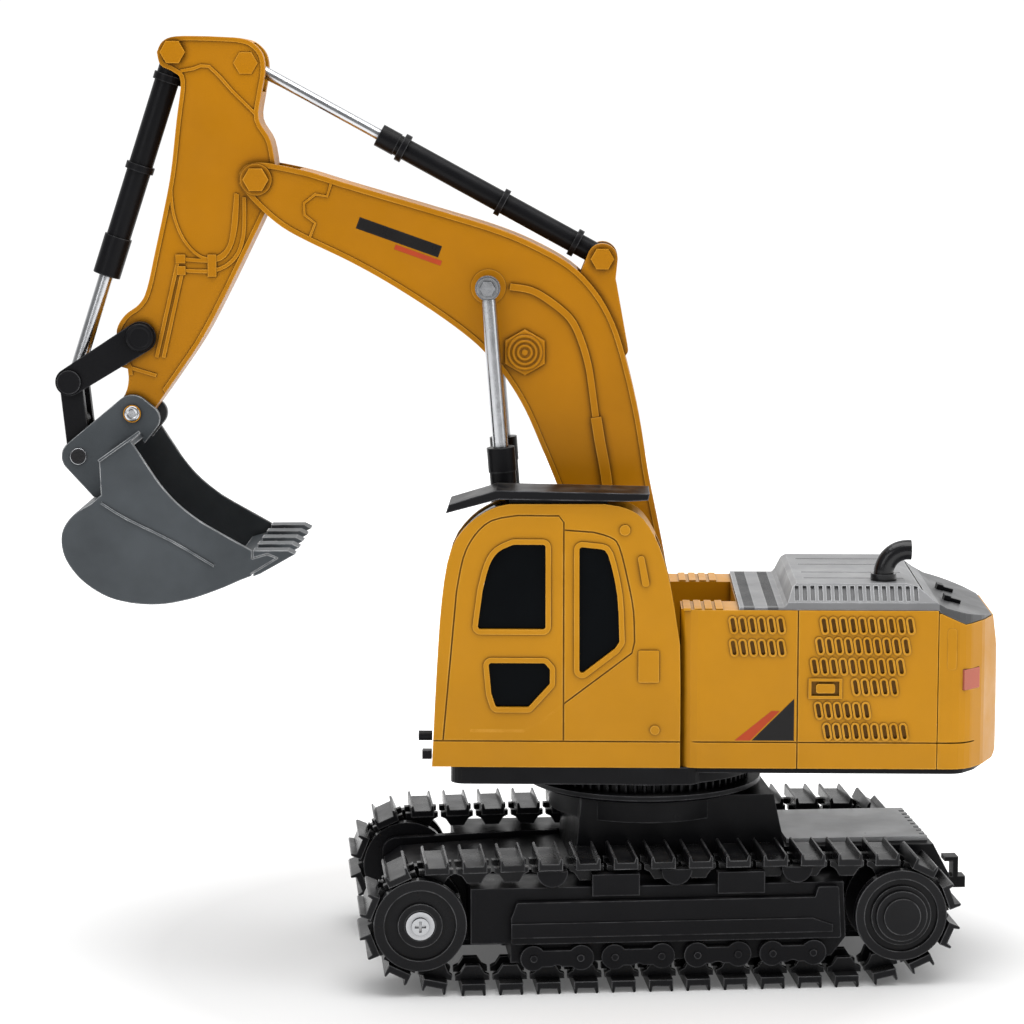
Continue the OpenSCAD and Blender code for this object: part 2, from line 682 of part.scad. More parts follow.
module counterweight() {
  color(yellow) placed() difference() {
    union() {
      intersection() {
        translate([0, 0, floor_z]) linear_extrude(deck_z - floor_z - 1) plan();
        translate([rear_x - 1, -half_house, floor_z]) cube([seam_x - 0.15 - rear_x + 1, house_w, 100]);
        slab(-half_house, half_house) polygon([[rear_x, floor_z + 5], [rear_x + 3.5, floor_z], [0, floor_z],
          [0, deck_z], [rear_x + 4.7, deck_z], [rear_x + 4.1, deck_z - 4], [rear_x + 2.5, deck_z - 13.5],
          [rear_x + 1.4, deck_z - 21], [rear_x + 0.5, deck_z - 35]]);
      }
      slabs(half_house - 2.5, half_house + 0.1)
        soft(1) polygon([[-104.6, 108], [-104.6, 122], [-101.5, 122], [-101.5, 108]]);
    }
    intersection() {
      translate([0, 0, floor_z - 1]) linear_extrude(deck_z - floor_z - wall - 5.5) plan(wall + 0.6);
      translate([rear_x + 5.5, -half_house, floor_z - 1]) cube([30, house_w, deck_z - floor_z]);
    }
    for (side = [1, -1]) mirrored(side) translate([lamp[0], lamp[1], lamp[2]]) rotate([0, 0, lamp_turn])
      translate([-1, -lamp_w / 2, 0]) cube([5, lamp_w, lamp_h]);
    slabs(half_house - 5, half_house + 1) translate([rear_x, seam_z - 0.25]) square([30, 0.5]);
    cut_under_cover();
  }
}

// Top edge of the counterweight, where the rear cover laps over it
lap = [[seam_x + 1, deck_z - 0.14], [-107.6, deck_z - 4.8], [-113.5, deck_z - 4.4], [rear_x - 3, deck_z - 4.2]];
lap_gap = 0.15;
module cut_under_cover() {
  slab(-half_house - 1, half_house + 1) polygon(concat(lap, [[rear_x - 3, deck_z + 1], [seam_x + 1, deck_z + 1]]));
}

lamp = [-109.1, 35.5, 100.8];
lamp_turn = 138;
lamp_w = 8.6;
lamp_h = 7.2;
module tail_lights() {
  color([0.6, 0.05, 0.05]) placed() for (side = [1, -1]) mirrored(side) translate([lamp[0], lamp[1], lamp[2]])
    rotate([0, 0, lamp_turn]) translate([-0.9, -lamp_w / 2 + 0.1, 0.1]) cube([2.6, lamp_w - 0.2, lamp_h - 0.2]);
}

hood_top = 136.3;
hood_front = -31.4;
// Side view of the hood: mat at the front, raised lid, cover that runs down over the tail
module hood_side() {
  polygon([[hood_front, deck_z + joint_gap], [hood_front, deck_z + 1], [-46.5, deck_z + 1], [-47.6, deck_z + 2.2],
    [-49.4, hood_top - 1.2], [-51, hood_top], [-88, hood_top], [-92, 135.2], [-97, 131.2], [-101, 128.9],
    [-108.5, 126.8], [-114.5, 125.2], [-118, 124.2], [-119.7, 122.6], [-119.7, 110], [0, 110],
    [seam_x - 0.3, deck_z + joint_gap]]);
}

module engine_hood() {
  color(grey) placed() difference() {
    union() {
      intersection() {
        slab(-half_house, half_house) hood_side();
        translate([0, 0, 100]) linear_extrude(60) plan(0.3);
        translate([0, 0, 0]) rotate([90, 0, 90]) translate([0, 0, -130]) linear_extrude(140)
          polygon([[-half_house + 0.3, 100], [-half_house + 0.3, deck_z + 2.6], [-half_house + 6.4, hood_top + 0.1],
            [half_house - 6.4, hood_top + 0.1], [half_house - 0.3, deck_z + 2.6], [half_house - 0.3, 100]]);
        union() {
          translate([seam_x - 0.3, -half_house, deck_z + joint_gap]) cube([100, house_w, 20]);
          difference() {
            translate([rear_x, -half_house, 100]) cube([seam_x - 0.2 - rear_x, house_w, 50]);
            slab(-half_house - 1, half_house + 1)
              polygon(concat([for (p = lap) p + [0, lap_gap]], [[rear_x - 3, 90], [seam_x + 1, 90]]));
          }
        }
      }
    }
    for (y = [-22, -9, 9, 22]) translate([-88, y - 0.5, hood_top - 0.8]) cube([34, 1, 2]);
    for (side = [1, -1], i = [0 : 15]) mirrored(side)
      translate([-91.6 + 2.67 * i, half_house - 0.3, deck_z + 2.6])
      rotate([46.5, 0, 0]) translate([0, -0.9, 0.9]) cube([1.35, 2, 6.3]);
    for (x = [-36.5, -44.5]) for (y = [-half_house + 3 : 2 : half_house - 4])
      translate([x, y, deck_z + 0.5]) cube([3.4, 1, 2]);
    translate([exhaust_at[0], exhaust_at[1], hood_top - 3]) cylinder(d = 7, h = 5);
    // Hollow underneath, so that it sits on the deck as a lid
    translate([-94, -half_house + 8, deck_z - 1]) cube([42, house_w - 16, hood_top - deck_z - 1]);
  }
}

module hood_clips() {
  color(black) placed() for (y = [-5.4, 18.5]) translate([-104.8, y, 127.9]) rotate([0, -15.6, 0]) {
    translate([-3, -1.1, 0]) cube([6, 2.2, 1.2]);
    translate([0.8, -2.6, 0]) cube([2.2, 5.2, 1.8]);
  }
}

exhaust_at = [-80.9, 26];
exhaust_d = 6.8;
exhaust_bend = 8;
module exhaust_pipe() {
  bore = exhaust_d - 1.8;
  collar = 2.4;
  z = hood_top + collar;
  color(black) placed() translate([exhaust_at[0], exhaust_at[1], 0]) difference() {
    union() {
      translate([0, 0, hood_top + joint_gap]) cylinder(d = 8.8, h = collar);
      translate([0, 0, hood_top - 2.9]) cylinder(d = 6.9, h = 4);
      translate([-exhaust_bend, 0, z]) rotate([90, 0, 0]) rotate_extrude(angle = 90)
        translate([exhaust_bend, 0]) circle(d = exhaust_d);
      translate([-exhaust_bend - 1.2, 0, z + exhaust_bend]) rotate([0, 90, 0]) cylinder(d = exhaust_d, h = 1.3);
    }
    translate([-exhaust_bend - 2, 0, z + exhaust_bend]) rotate([0, 90, 0]) cylinder(d = bore, h = 2.02);
    translate([-exhaust_bend, 0, z]) rotate([90, 0, 0]) rotate_extrude(angle = 90)
      translate([exhaust_bend, 0]) circle(d = bore);
    translate([0, 0, hood_top - 3]) cylinder(d = bore, h = collar + 3.01);
  }
}

// ---------- cab ----------

cab_in = half_channel;
cab_out = half_house;
cab_top = 163.8;
// Side view of the cab
cab_path = curve([[72.2, floor_z], [70.6, 105], [68.7, 131], [65.6, 148], [59.5, 157], [51.9, 162.1], [46, 163.7]], 3);
cab_back = curve([[14, 163.8], [6.8, 162.4], [0.8, 158.6], [-4.6, 149], [-8.4, 135.5], [-11.6, 116]], 3);
module cab_2d() {
  polygon(concat(cab_path, cab_back, [[cab_rear_x + 0.15, 100], [cab_rear_x + 0.15, floor_z]]));
}

front_window = concat([[56.7, 121.2]], curve([[54.9, 134.5], [52.7, 142.7], [49.7, 147.5], [44.5, 150.1]], 3),
  [[33.7, 150.1], [33.7, 121.2]]);
lower_window = [[53, 109.7], [34, 109.7], [32.2, 107.6], [32.2, 102.6], [39.5, 94.5], [50.5, 94.5], [52, 99]];
rear_window = concat([[22.4, 149.4]], curve([[15.5, 148.7], [12.7, 146.6], [9.6, 133], [8.8, 117]], 3),
  [[10.3, 114.7], [22.3, 105.4]]);
window_r = 1;
module side_windows_2d() {
  soft(window_r) polygon(front_window);
  soft(window_r) polygon(lower_window);
  soft(window_r) polygon(rear_window);
}

rim_w = 1.8;
rim_h = 0.6;
groove_w = 0.55;
groove_d = 0.5;
door_line = concat([[68.4, 82.8], [65.8, 112.3]], curve([[63.7, 134], [61.4, 145.5], [57.7, 152.9], [51.9, 158.1],
  [43.1, 159.9]], 3), [[29.3, 159.8], [27.6, 157.6], [27.6, 82.8]]);
frame_line = concat([[59, 86.3], [40.9, 86.3], [35.1, 89.3], [27, 96.1], [4.6, 113.2]],
  curve([[3.7, 117], [4.1, 127.4], [6, 137.7], [9, 149.4], [12, 152.6], [17.7, 154.3]], 3),
  [[27.4, 155], [46.8, 155.2]], curve([[50.6, 154.2], [54.6, 151], [58.6, 144.1], [61.4, 128.6], [62.6, 104.8]], 3),
  [[62.6, 92.6], [61.2, 88.2], [59, 86.3]]);

// Panel lines, raised window surrounds and small raised pads on the cab's side
module cab_grooves() {
  slab(cab_out - groove_d, cab_out + 1) {
    polygon(strip(door_line, groove_w));
    polygon(strip(frame_line, groove_w));
    translate([-20, seam_z - groove_w / 2]) square([100, groove_w]);
  }
}

module cab_shell() {
  windscreen_y = [cab_in + 2.6, cab_out - 2.6];
  color(yellow) placed() difference() {
    union() {
      slab(cab_in, cab_out) cab_2d();
      slab(cab_out - 0.3, cab_out + rim_h) difference() {
        offset(delta = rim_w) side_windows_2d();
        side_windows_2d();
      }
      bar([7.1, 155.1], cab_out - 0.3, cab_out + 0.7, 3.6);
      bar([-3.3, 86.9], cab_out - 0.3, cab_out + 0.7, 3.2);
      slab(cab_out - 0.3, cab_out + 0.9) soft(1) polygon([[2.9, 146.4], [0.7, 146.4], [-1.4, 136], [1.1, 136]]);
      slab(cab_out - 0.3, cab_out + 0.6) soft(0.6) translate([-4.6, 103.2]) square([7, 11]);
    }
    slab(cab_in + wall, cab_out - wall) difference() {
      offset(delta = -wall) cab_2d();
      square([0.01, 0.01]);
    }
    slab(cab_in + wall, cab_out - wall) translate([cab_rear_x + 2, floor_z - 1]) square([70, 3.5]);
    slab(cab_out - wall - 1, cab_out + 2) side_windows_2d();
    slab(cab_in - 1, cab_in + wall + 1) side_windows_2d();
    // Windscreen opening, and the rear screen
    slab(windscreen_y[0], windscreen_y[1]) polygon([[80, 100], [60, 100], [58, 130], [50, 152], [44, 160], [54, 170],
      [80, 150]]);
    slab(windscreen_y[0], windscreen_y[1]) polygon([[-20, 132], [-2, 132], [2, 152], [-20, 152]]);
    cab_grooves();
  }
}

module cab_glass() {
  pane = 1;
  y_out = cab_out - 1.2;
  screen_y = [cab_in + 2.7, cab_out - 2.7];
  color(black) placed() {
    slab(y_out - pane, y_out) offset(delta = -0.05) side_windows_2d();
    slab(cab_in + 0.4, cab_in + 0.4 + pane) offset(delta = -0.05) side_windows_2d();
    slab(screen_y[0], screen_y[1]) intersection() {
      difference() {
        offset(delta = -0.5) cab_2d();
        offset(delta = -1.5) cab_2d();
      }
      polygon([[80, 100.1], [60, 100.1], [56, 130], [50, 152], [45.4, 158.4], [54, 168], [80, 150]]);
    }
    slab(screen_y[0], screen_y[1]) intersection() {
      difference() {
        offset(delta = -0.5) cab_2d();
        offset(delta = -1.5) cab_2d();
      }
      polygon([[-20, 132.1], [-2, 132.1], [2, 151.9], [-20, 151.9]]);
    }
  }
}

visor_y = [half_channel, half_house + 2.3];
module roof_visor() {
  under_z = cab_top + 0.1;
  drop = 6.6;
  color(black) placed() {
    slab(visor_y[0], visor_y[1]) polygon([[67.2, 167.4 - drop], [66.2, 170.4 - drop], [50.3, 168.6], [-1.1, 167.6],
      [-0.6, 165.4], [6, 165], [49.4, 165.6]]);
    slab(visor_y[0] + 2, visor_y[1] - 4) polygon([[13, under_z], [13, 165.6], [46, 165.7], [46, under_z]]);
  }
}

module cab_knob() {
  color(black) placed() {
    translate([72.3, cab_out - 5, 83.6]) rotate([0, 90, 0]) cylinder(d = 3.4, h = 4.6);
    translate([72.4, cab_out - 5.6, 76]) cube([3.2, 3.6, 3]);
  }
}

// ---------- works inside the house ----------

module battery_pack() {
  color([0.1, 0.25, 0.5]) placed() translate([-96.5, 0, floor_z + 7.4]) for (i = [-1.5 : 1 : 1.5])
    translate([0, i * 15.2, 0]) rotate([0, 90, 0]) cylinder(d = 14.4, h = 49);
}

module control_board() {
  z = 108;
  color([0.05, 0.35, 0.15]) placed() translate([-94, -35.6, z]) cube([56, 71.2, 1.6]);
  color(black) placed() {
    translate([-84, -16, z + 1.6]) cube([12, 12, 1.8]);
    translate([-66, 2, z + 1.6]) cube([8, 14, 1.6]);
    translate([-52, -20, z + 1.6]) cube([6, 8, 8]);
  }
}

motor_z = floor_z;
motor_y = -(half_house + half_channel) / 2;
module slew_motor() {
  color(steel) placed() {
    difference() {
      translate([pinion_x - 9, motor_y - 6.8, motor_z]) cube([18, 13.6, 10]);
      translate([pinion_x, pinion_y, motor_z - 1]) cylinder(d = pinion_shaft_d + 2 * run_gap, h = 8);
    }
    translate([pinion_x, motor_y, motor_z + 10.05]) cylinder(d = 12, h = 14);
  }
}

module slew_pinion() {
  color(steel) placed() translate([pinion_x, pinion_y, 0]) {
    translate([0, 0, flange_z + joint_gap + 0.15]) linear_extrude(ring_t - 0.2)
      rotate(pinion_angle * (1 + ring_teeth / pinion_teeth) + 180 - 180 / pinion_teeth) gear_2d(pinion_teeth);
    translate([0, 0, flange_z + joint_gap + 0.2]) cylinder(d = pinion_shaft_d, h = motor_z + 6 - flange_z);
  }
}

module boom_gearbox() {
  y = boom_w / 2 - 3;
  color(steel) placed() {
    slab(-y, y) soft(3) polygon([[-24, floor_z + 11.5], [-24, 97], [16, 97], [20, floor_z + 11.5]]);
    translate([-24.1 - 21, 0, 91.6]) rotate([0, 90, 0]) cylinder(d = 11, h = 21);
  }
}

pivot_d = 6;
foot_d = 4;
module boom_pivot_pin() {
  y = bracket_y[0] + 4;
  color(steel) placed() {
    bar(boom_pin, -y - 0.3, y + 0.3, pivot_d);
    head(boom_pin, y + 0.25, 1.6, 9, 1);
    head(boom_pin, y + 0.25, 1.6, 9, -1);
  }
}

// ---------- boom ----------

half_boom = boom_w / 2;
boom_top = curve([[138.4, 273.2], [136.6, 275.6], [133, 276.7], [127.3, 276.3], [115, 273.7], [103.3, 270.1], [88.2, 265.7], [70.5, 260.5],
  [52.7, 255.1], [39.3, 249.8], [25.9, 242.3], [17.1, 233.4], [10.8, 222.4], [6.2, 207.9], [1.9, 189.1],
  [-1.4, 168.9], [-4.7, 152.9], [-7.9, 136], [-9.4, 122], [-9.4, 108]], 4);
boom_under = curve([[-6.5, 103], [0, 100.4], [6.5, 103], [10, 112], [20, 141], [31.2, 169.2], [35.7, 180], [41.1, 192.4],
  [47.3, 202.8], [54.5, 211.7], [61.6, 218.2], [73.2, 226.6], [88.4, 236.2], [101.7, 243.5], [115.1, 249.9],
  [124, 254.8], [131, 260.6], [136.6, 266.6], [138.6, 269.6]], 4);
module boom_2d() {
  polygon(concat(boom_top, boom_under));
}

fork_r = 15;
rim_stick = 0.5;
fork_y = stick_w / 2 + rim_stick + side_gap;
rim_boom = 0.5;
pipe_path = curve([[46.4, 234.7], [39, 233.4], [32.2, 229.4], [25.8, 223.8], [22.3, 217], [19.6, 208], [18.2, 199], [16.9, 189.2]], 4);
hose_path = curve([[16.9, 190], [15.6, 182], [13.9, 173], [12.6, 164]], 3);
ring_boss = [41.3, 212.3];
bracket_in = 6;
bracket_out = 9;

// Raised work on the boom's side: edge rim, bosses, pipes
module boom_relief() {
  slab(half_boom - 0.3, half_boom + rim_boom) difference() {
    boom_2d();
    offset(delta = -1.7) boom_2d();
  }
  bar(boom_rod_pin, half_boom - 0.3, half_boom + 0.35, 12);
  hex_head(ring_boss, half_boom - 0.3, half_boom + 0.25, 14.2);
  slab(half_boom + 0.2, half_boom + rim_boom) for (r = [5.6, 3.6, 1.6]) translate(ring_boss) difference() {
    circle(r);
    circle(max(r - 0.9, 0.05));
  }
  slab(half_boom - 0.3, half_boom + 1) polygon(strip(pipe_path, 2.3));
  slab(half_boom - 0.3, half_boom + 1.4) polygon(strip(hose_path, 3.6));
  slab(half_boom - 0.3, half_boom + 0.45)
    polygon(strip([[107.3, 269.7], [108.7, 265.3], [112.7, 266], [116.6, 263], [116.4, 259], [112.8, 256.2], [115.1, 250.4]], 0.9));
}

module boom_shell() {
  difference() {
    union() {
      difference() {
        slab(joint_gap / 2, half_boom) boom_2d();
        slab(-1, half_boom - wall) offset(delta = -wall) boom_2d();
      }
      bar(boom_pin, joint_gap / 2, half_boom - 0.2, 13);
      boom_relief();
      slab(bracket_in, bracket_out) bone(stick_barrel_pin, stick_barrel_pin + [3.4, -14], 5.2, 7.2);
      slab(bracket_in, bracket_out) bone(stick_barrel_pin + [2, -10], [8.4, 213], 7, 2.4);
      bar(stick_pin, half_boom - 0.3, half_boom + 1, 10.8);
    }
    bar(stick_pin, -1, fork_y, 2 * fork_r);
    slab(-1, fork_y) polygon([stick_pin + [0, fork_r], stick_pin + [30, fork_r],
      stick_pin + [30, -fork_r], stick_pin + [0, -fork_r]]);
    bar(stick_pin, -1, half_boom + 3, pivot_d + 2 * joint_gap);
    bar(boom_pin, -1, half_boom + 3, pivot_d + 2 * run_gap);
    bar(stick_barrel_pin, -1, half_boom + 3, cyl_pin_d + 2 * joint_gap);
    // Slot in the boom's back for the stick cylinder's foot
    slab(-1, bracket_in) disc(stick_barrel_pin, 9.5);
  }
}

module boom_bolts() {
  color(steel) placed() {
    bar(stick_pin, -half_boom - 1.2, half_boom + 1.2, pivot_d);
    for (side = [1, -1]) head(stick_pin, half_boom + 1.1, 1.4, 8.8, side);
    bar(stick_barrel_pin, -bracket_out - 0.2, bracket_out + 0.2, cyl_pin_d);
    for (side = [1, -1]) head(stick_barrel_pin, bracket_out + 0.1, 1.8, 8, side);
  }
}

// ---------- cylinders ----------

cyl_pin_d = 3.6;
boom_eye_y = 16.2;
boom_eye_t = 4.6;
eye_t = 10;

// Barrel from its eye at a towards b: length, diameter, collar places, and the rod's bore
module barrel_on(a, b, y, len, d, rod_d, collars, eye_d) {
  translate([a[0], y, a[1]]) rotate([0, 90 - direction(a, b), 0]) difference() {
    union() {
      translate([0, 0, eye_d / 2 - 1]) cylinder(d = d, h = len - eye_d / 2 + 1);
      for (c = collars) translate([0, 0, c[0]]) cylinder(d = d + c[2], h = c[1]);
    }
    translate([0, 0, eye_d / 2 + 3]) cylinder(d = rod_d + 2 * run_gap, h = len);
  }
}

// Rod from its eye at b back towards a
module rod_on(a, b, y, len, d, eye_d) {
  translate([b[0], y, b[1]]) rotate([0, 90 - direction(a, b), 0])
    translate([0, 0, -len]) cylinder(d = d, h = len - eye_d / 2 + 0.6);
}

boom_stroke_len = norm(boom_rod_pin - boom_foot_pin);
stick_stroke_len = norm(stick_rod_pin - stick_barrel_pin);
bucket_stroke_len = norm(link_pin - bucket_barrel_pin);
boom_barrel_len = boom_stroke_len - 54.5;
stick_barrel_len = stick_stroke_len - 51;
bucket_barrel_len = bucket_stroke_len - 38;

module boom_barrels() {
  n = boom_barrel_len;
  color(black) placed() for (side = [1, -1]) difference() {
    union() {
      barrel_on(boom_foot_pin, boom_rod_pin, side * boom_eye_y, n, boom_barrel_d, boom_rod_d,
        [[n - 8.4, 8.4, 0.6], [n - 20, 2.4, 0.5], [16, 3, 0.5]], 9);
      bar(boom_foot_pin, side * boom_eye_y - 4.4, side * boom_eye_y + 4.4, 9);
    }
    bar(boom_foot_pin, -half_channel, half_channel, foot_d + 2 * run_gap);
  }
}

module boom_rods() {
  color(chrome) placed() for (side = [1, -1]) difference() {
    union() {
      rod_on(boom_foot_pin, boom_rod_pin, side * boom_eye_y, boom_stroke_len - 38.5, boom_rod_d, 9);
      bar(boom_rod_pin, side * boom_eye_y - boom_eye_t / 2 + 0.1, side * boom_eye_y + boom_eye_t / 2 - 0.1, 8.6);
    }
    bar(boom_rod_pin, -half_house, half_house, cyl_pin_d + 2 * joint_gap);
  }
}

module boom_rod_bolts() {
  y0 = boom_eye_y - boom_eye_t / 2 + 0.15;
  color(steel) placed() for (side = [1, -1]) {
    mirrored(side) {
      bar(boom_rod_pin, y0, boom_eye_y + boom_eye_t / 2 + 0.1, cyl_pin_d);
      bar(boom_rod_pin, boom_eye_y + boom_eye_t / 2, boom_eye_y + boom_eye_t / 2 + 0.9, 7.4);
      hex_head(boom_rod_pin, boom_eye_y + boom_eye_t / 2 + 0.8, boom_eye_y + boom_eye_t / 2 + 2.2, 5.4);
    }
  }
}

module stick_barrel() {
  n = stick_barrel_len;
  color(black) placed() difference() {
    union() {
      barrel_on(stick_barrel_pin, stick_rod_pin, 0, n, stick_barrel_d, stick_rod_d,
        [[n - 7, 7, 0.6], [n - 10.5, 2.2, 2.6], [n - 49, 2, 2.4], [9.5, 2, 2.4]], 8.6);
      bar(stick_barrel_pin, -bracket_in + side_gap, bracket_in - side_gap, 9.6);
    }
    bar(stick_barrel_pin, -10, 10, cyl_pin_d + 2 * run_gap);
  }
}

module stick_rod() {
  color(chrome) placed() {
    rod_on(stick_barrel_pin, stick_rod_pin, 0, stick_stroke_len - 35.5, stick_rod_d, 8);
    bar(stick_rod_pin, -eye_t / 2 + side_gap, eye_t / 2 - side_gap, 7.6);
  }
}

module bucket_barrel() {
  n = bucket_barrel_len;
  color(black) placed() difference() {
    union() {
      barrel_on(bucket_barrel_pin, link_pin, 0, n, bucket_barrel_d, bucket_rod_d,
        [[n - 14, 14, 1.2], [n - 40, 2.4, 1.6], [8, 2.6, 1.6]], 9);
      bar(bucket_barrel_pin, -eye_t / 2, eye_t / 2, 9.6);
    }
    bar(bucket_barrel_pin, -10, 10, cyl_pin_d + 2 * run_gap);
  }
}

module bucket_rod() {
  color(chrome) placed() {
    rod_on(bucket_barrel_pin, link_pin, 0, bucket_stroke_len - 34, bucket_rod_d, 8);
    bar(link_pin, -eye_t / 2 + side_gap, eye_t / 2 - side_gap, 8);
  }
}

// ---------- stick ----------

half_stick = stick_w / 2;
stick_front = curve([[166.4, 314], [165.2, 309.6], [161, 307.4], [158.4, 304], [160, 291], [162.2, 273.2], [165, 259.3], [167.8, 247.1],
  [171, 233.5], [173.8, 228.3], [178.6, 224.6], [181.6, 219.4], [180.6, 212.6], [178, 206], [178.4, 199], [181.8, 193]], 4);
stick_back = curve([[182, 188], [178.6, 185.4], [174.4, 185.8], [169.4, 191.9], [160, 205], [151.6, 217.5], [143.5, 232.6],
  [135.5, 248.6], [130.4, 259], [127.2, 266.6], [126.4, 273.4], [128, 284], [132, 291.4], [131, 300], [129.7, 307.6], [130.6, 313.6],
  [134.6, 317.6], [140, 318.9]], 4);
stick_crown = curve([[148.5, 319.3], [159.8, 319.3], [164.4, 317.6], [166.4, 314]], 4);
module stick_2d() {
  polygon(concat(stick_crown, stick_front, stick_back));
}

loop_path = curve([[162.4, 269.7], [161.5, 259.3], [158.2, 250.6], [153, 245], [147.8, 244.1], [143.3, 247.2],
  [141.5, 253.2], [140.1, 266.3]], 4);
hose_a = concat(curve([[139.6, 266], [140.2, 255.8], [142.4, 247.6], [147.4, 243.4], [160, 243.9]], 4), [[162.3, 234], [168, 210]]);
hose_b = concat(curve([[137.2, 265], [137.6, 252], [140.8, 244], [147.8, 239.9], [158.6, 239.9]], 4), [[160, 234], [165.6, 210]]);

module stick_relief() {
  slab(half_stick - 0.3, half_stick + rim_stick) difference() {
    stick_2d();
    offset(delta = -1.5) stick_2d();
    disc(bucket_pin, 13);
  }
  slab(half_stick - 0.3, half_stick + rim_stick) {
    polygon(strip(curve([[158.4, 307.6], [154, 308.4], [148.7, 309.2], [141, 301], [132.9, 293]], 2), 1.1));
    polygon(strip(loop_path, 1));
    polygon(strip([[181, 207.6], [168.2, 203.8]], 1.2));
  }
  slab(half_stick - 0.3, half_stick + 0.5) {
    polygon(strip(hose_a, 1.3));
    polygon(strip(hose_b, 1.3));
  }
  slab(half_stick - 0.3, half_stick + 0.7) {
    translate([157.6, 242.4]) square([3.4, 3]);
    translate([157.6, 238.4]) square([3, 3]);
    translate([147, 237.8]) square([3, 7.6]);
  }
  hex_head(stick_rod_pin, half_stick - 0.3, half_stick + 0.4, 8.4);
}

module stick_shell() {
  difference() {
    union() {
      difference() {
        slab(joint_gap / 2, half_stick) stick_2d();
        slab(-1, half_stick - wall) offset(delta = -wall) stick_2d();
      }
      for (p = [stick_pin, rocker_pin, bucket_pin]) bar(p, joint_gap / 2, half_stick - 0.2, 9);
      stick_relief();
    }
    bar(stick_pin, -1, half_stick + 3, pivot_d + 2 * run_gap);
    for (p = [rocker_pin, bucket_pin]) bar(p, -1, half_stick + 3, pin_d + 2 * joint_gap);
    bar(bucket_barrel_pin, -1, half_stick + 3, cyl_pin_d + 2 * joint_gap);
    // Room at the top for the two cylinders' eyes
    slab(-1, eye_t / 2 + side_gap) {
      bone(stick_rod_pin, stick_rod_pin + [-14, -3], 7, 9.6);
      bone(bucket_barrel_pin, bucket_barrel_pin + [10, -16], 8, 9.6);
    }
  }
}

pin_d = 4;
ear_in = half_stick + 0.85;
ear_out = ear_in + 2.2;
module stick_bolts() {
  arm_out = arm_in + arm_t;
  color(steel) placed() {
    bar(rocker_pin, -arm_out - 0.3, arm_out + 0.3, pin_d);
    for (side = [1, -1]) mirrored(side) {
      bar(rocker_pin, arm_out + 0.2, arm_out + 0.9, 6.6);
      bar(bucket_pin, ear_out + 0.2, ear_out + 1, 6);
    }
    bar(bucket_pin, -ear_out - 0.3, ear_out + 0.3, pin_d);
    bar(bucket_barrel_pin, -half_stick - 0.1, half_stick + 0.1, cyl_pin_d);
    for (side = [1, -1]) head(bucket_barrel_pin, half_stick + rim_stick + 0.02, 1.5, 8.6, side);
    for (side = [1, -1]) mirrored(side) bar(bucket_barrel_pin, half_stick, half_stick + rim_stick + 0.1, cyl_pin_d);
  }
}

// ---------- linkage and bucket ----------

arm_in = half_stick + rim_stick + side_gap;
arm_t = 2.4;
module rocker_arms() {
  color(black) placed() slabs(arm_in, arm_in + arm_t) difference() {
    bone(rocker_pin, link_pin, 5.4, 4.8);
    disc(rocker_pin, pin_d / 2 + run_gap);
    disc(link_pin, pin_d / 2 + joint_gap);
  }
}

link_bar_in = eye_t / 2 + 0.4;
link_bar_out = half_stick + 0.4;
module rocker_pins() {
  color(black) placed() for (side = [1, -1]) mirrored(side) {
    bar(link_pin, link_bar_in + 0.2, arm_in + arm_t + 0.2, pin_d);
    bar(link_pin, arm_in + arm_t + 0.1, arm_in + arm_t + 1.1, 8.2);
  }
}

ear_bolt_d = 3.2;
open_gap = 0.9;
module bucket_link() {
  mid = (link_pin + ear_pin) / 2;
  color(black) placed() difference() {
    union() {
      slabs(link_bar_in, link_bar_out) bone(link_pin, ear_pin, 3.9, 3.9);
      slab(-link_bar_in - 1, link_bar_in + 1) translate(mid + [-0.4, -1.4]) circle(3.2);
    }
    bar(link_pin, -20, 20, pin_d + 2 * run_gap);
    bar(ear_pin, -20, 20, ear_bolt_d + 2 * open_gap);
  }
}

half_bucket = bucket_w / 2;
sheet = 1.8;
bucket_top = [173.7, 184.1];
bucket_lip = [133.1, 146.8];
mouth_edge = curve([bucket_lip, [142.2, 151.9], [150.9, 157], [158.3, 162.9], [163.9, 169.2], [168.8, 176.5], bucket_top], 4);
bucket_back = curve([[187.6, 162.6], [193.2, 159.2], [196.8, 154.6], [197.7, 149.4], [196.2, 143.4], [191.4, 136.9],
  [183.9, 131.6], [175.2, 128.9], [165.1, 128.3], [155, 130], [145.6, 133.1], [137.4, 136.6]], 4);
module bucket_2d() {
  polygon(concat(mouth_edge, [[184.4, 177.4], [184, 165.6]], bucket_back, [[133.4, 138.2]]));
}

// Everything ahead of the bucket's mouth, reaching into its hollow
module bucket_mouth_2d() {
  polygon([[137.5, 141.5], [131, 142.2], [112, 146], [112, 196], [170, 196], bucket_top + [-0.96, -1.53],
    bucket_top + [2.43, -3.65], [165, 165]]);
}

module bucket_ear_2d() {
  hull() {
    disc(bucket_pin, 6.4);
    disc(bucket_pin + [-4.4, -1.8], 5);
    disc(ear_pin, 5.8);
    disc([186, 168], 3);
    disc([176, 183], 2.4);
  }
  hull() {
    disc(ear_pin, 5.8);
    disc([189.4, 163.4], 1.6);
    disc([184.6, 165], 1.6);
  }
}

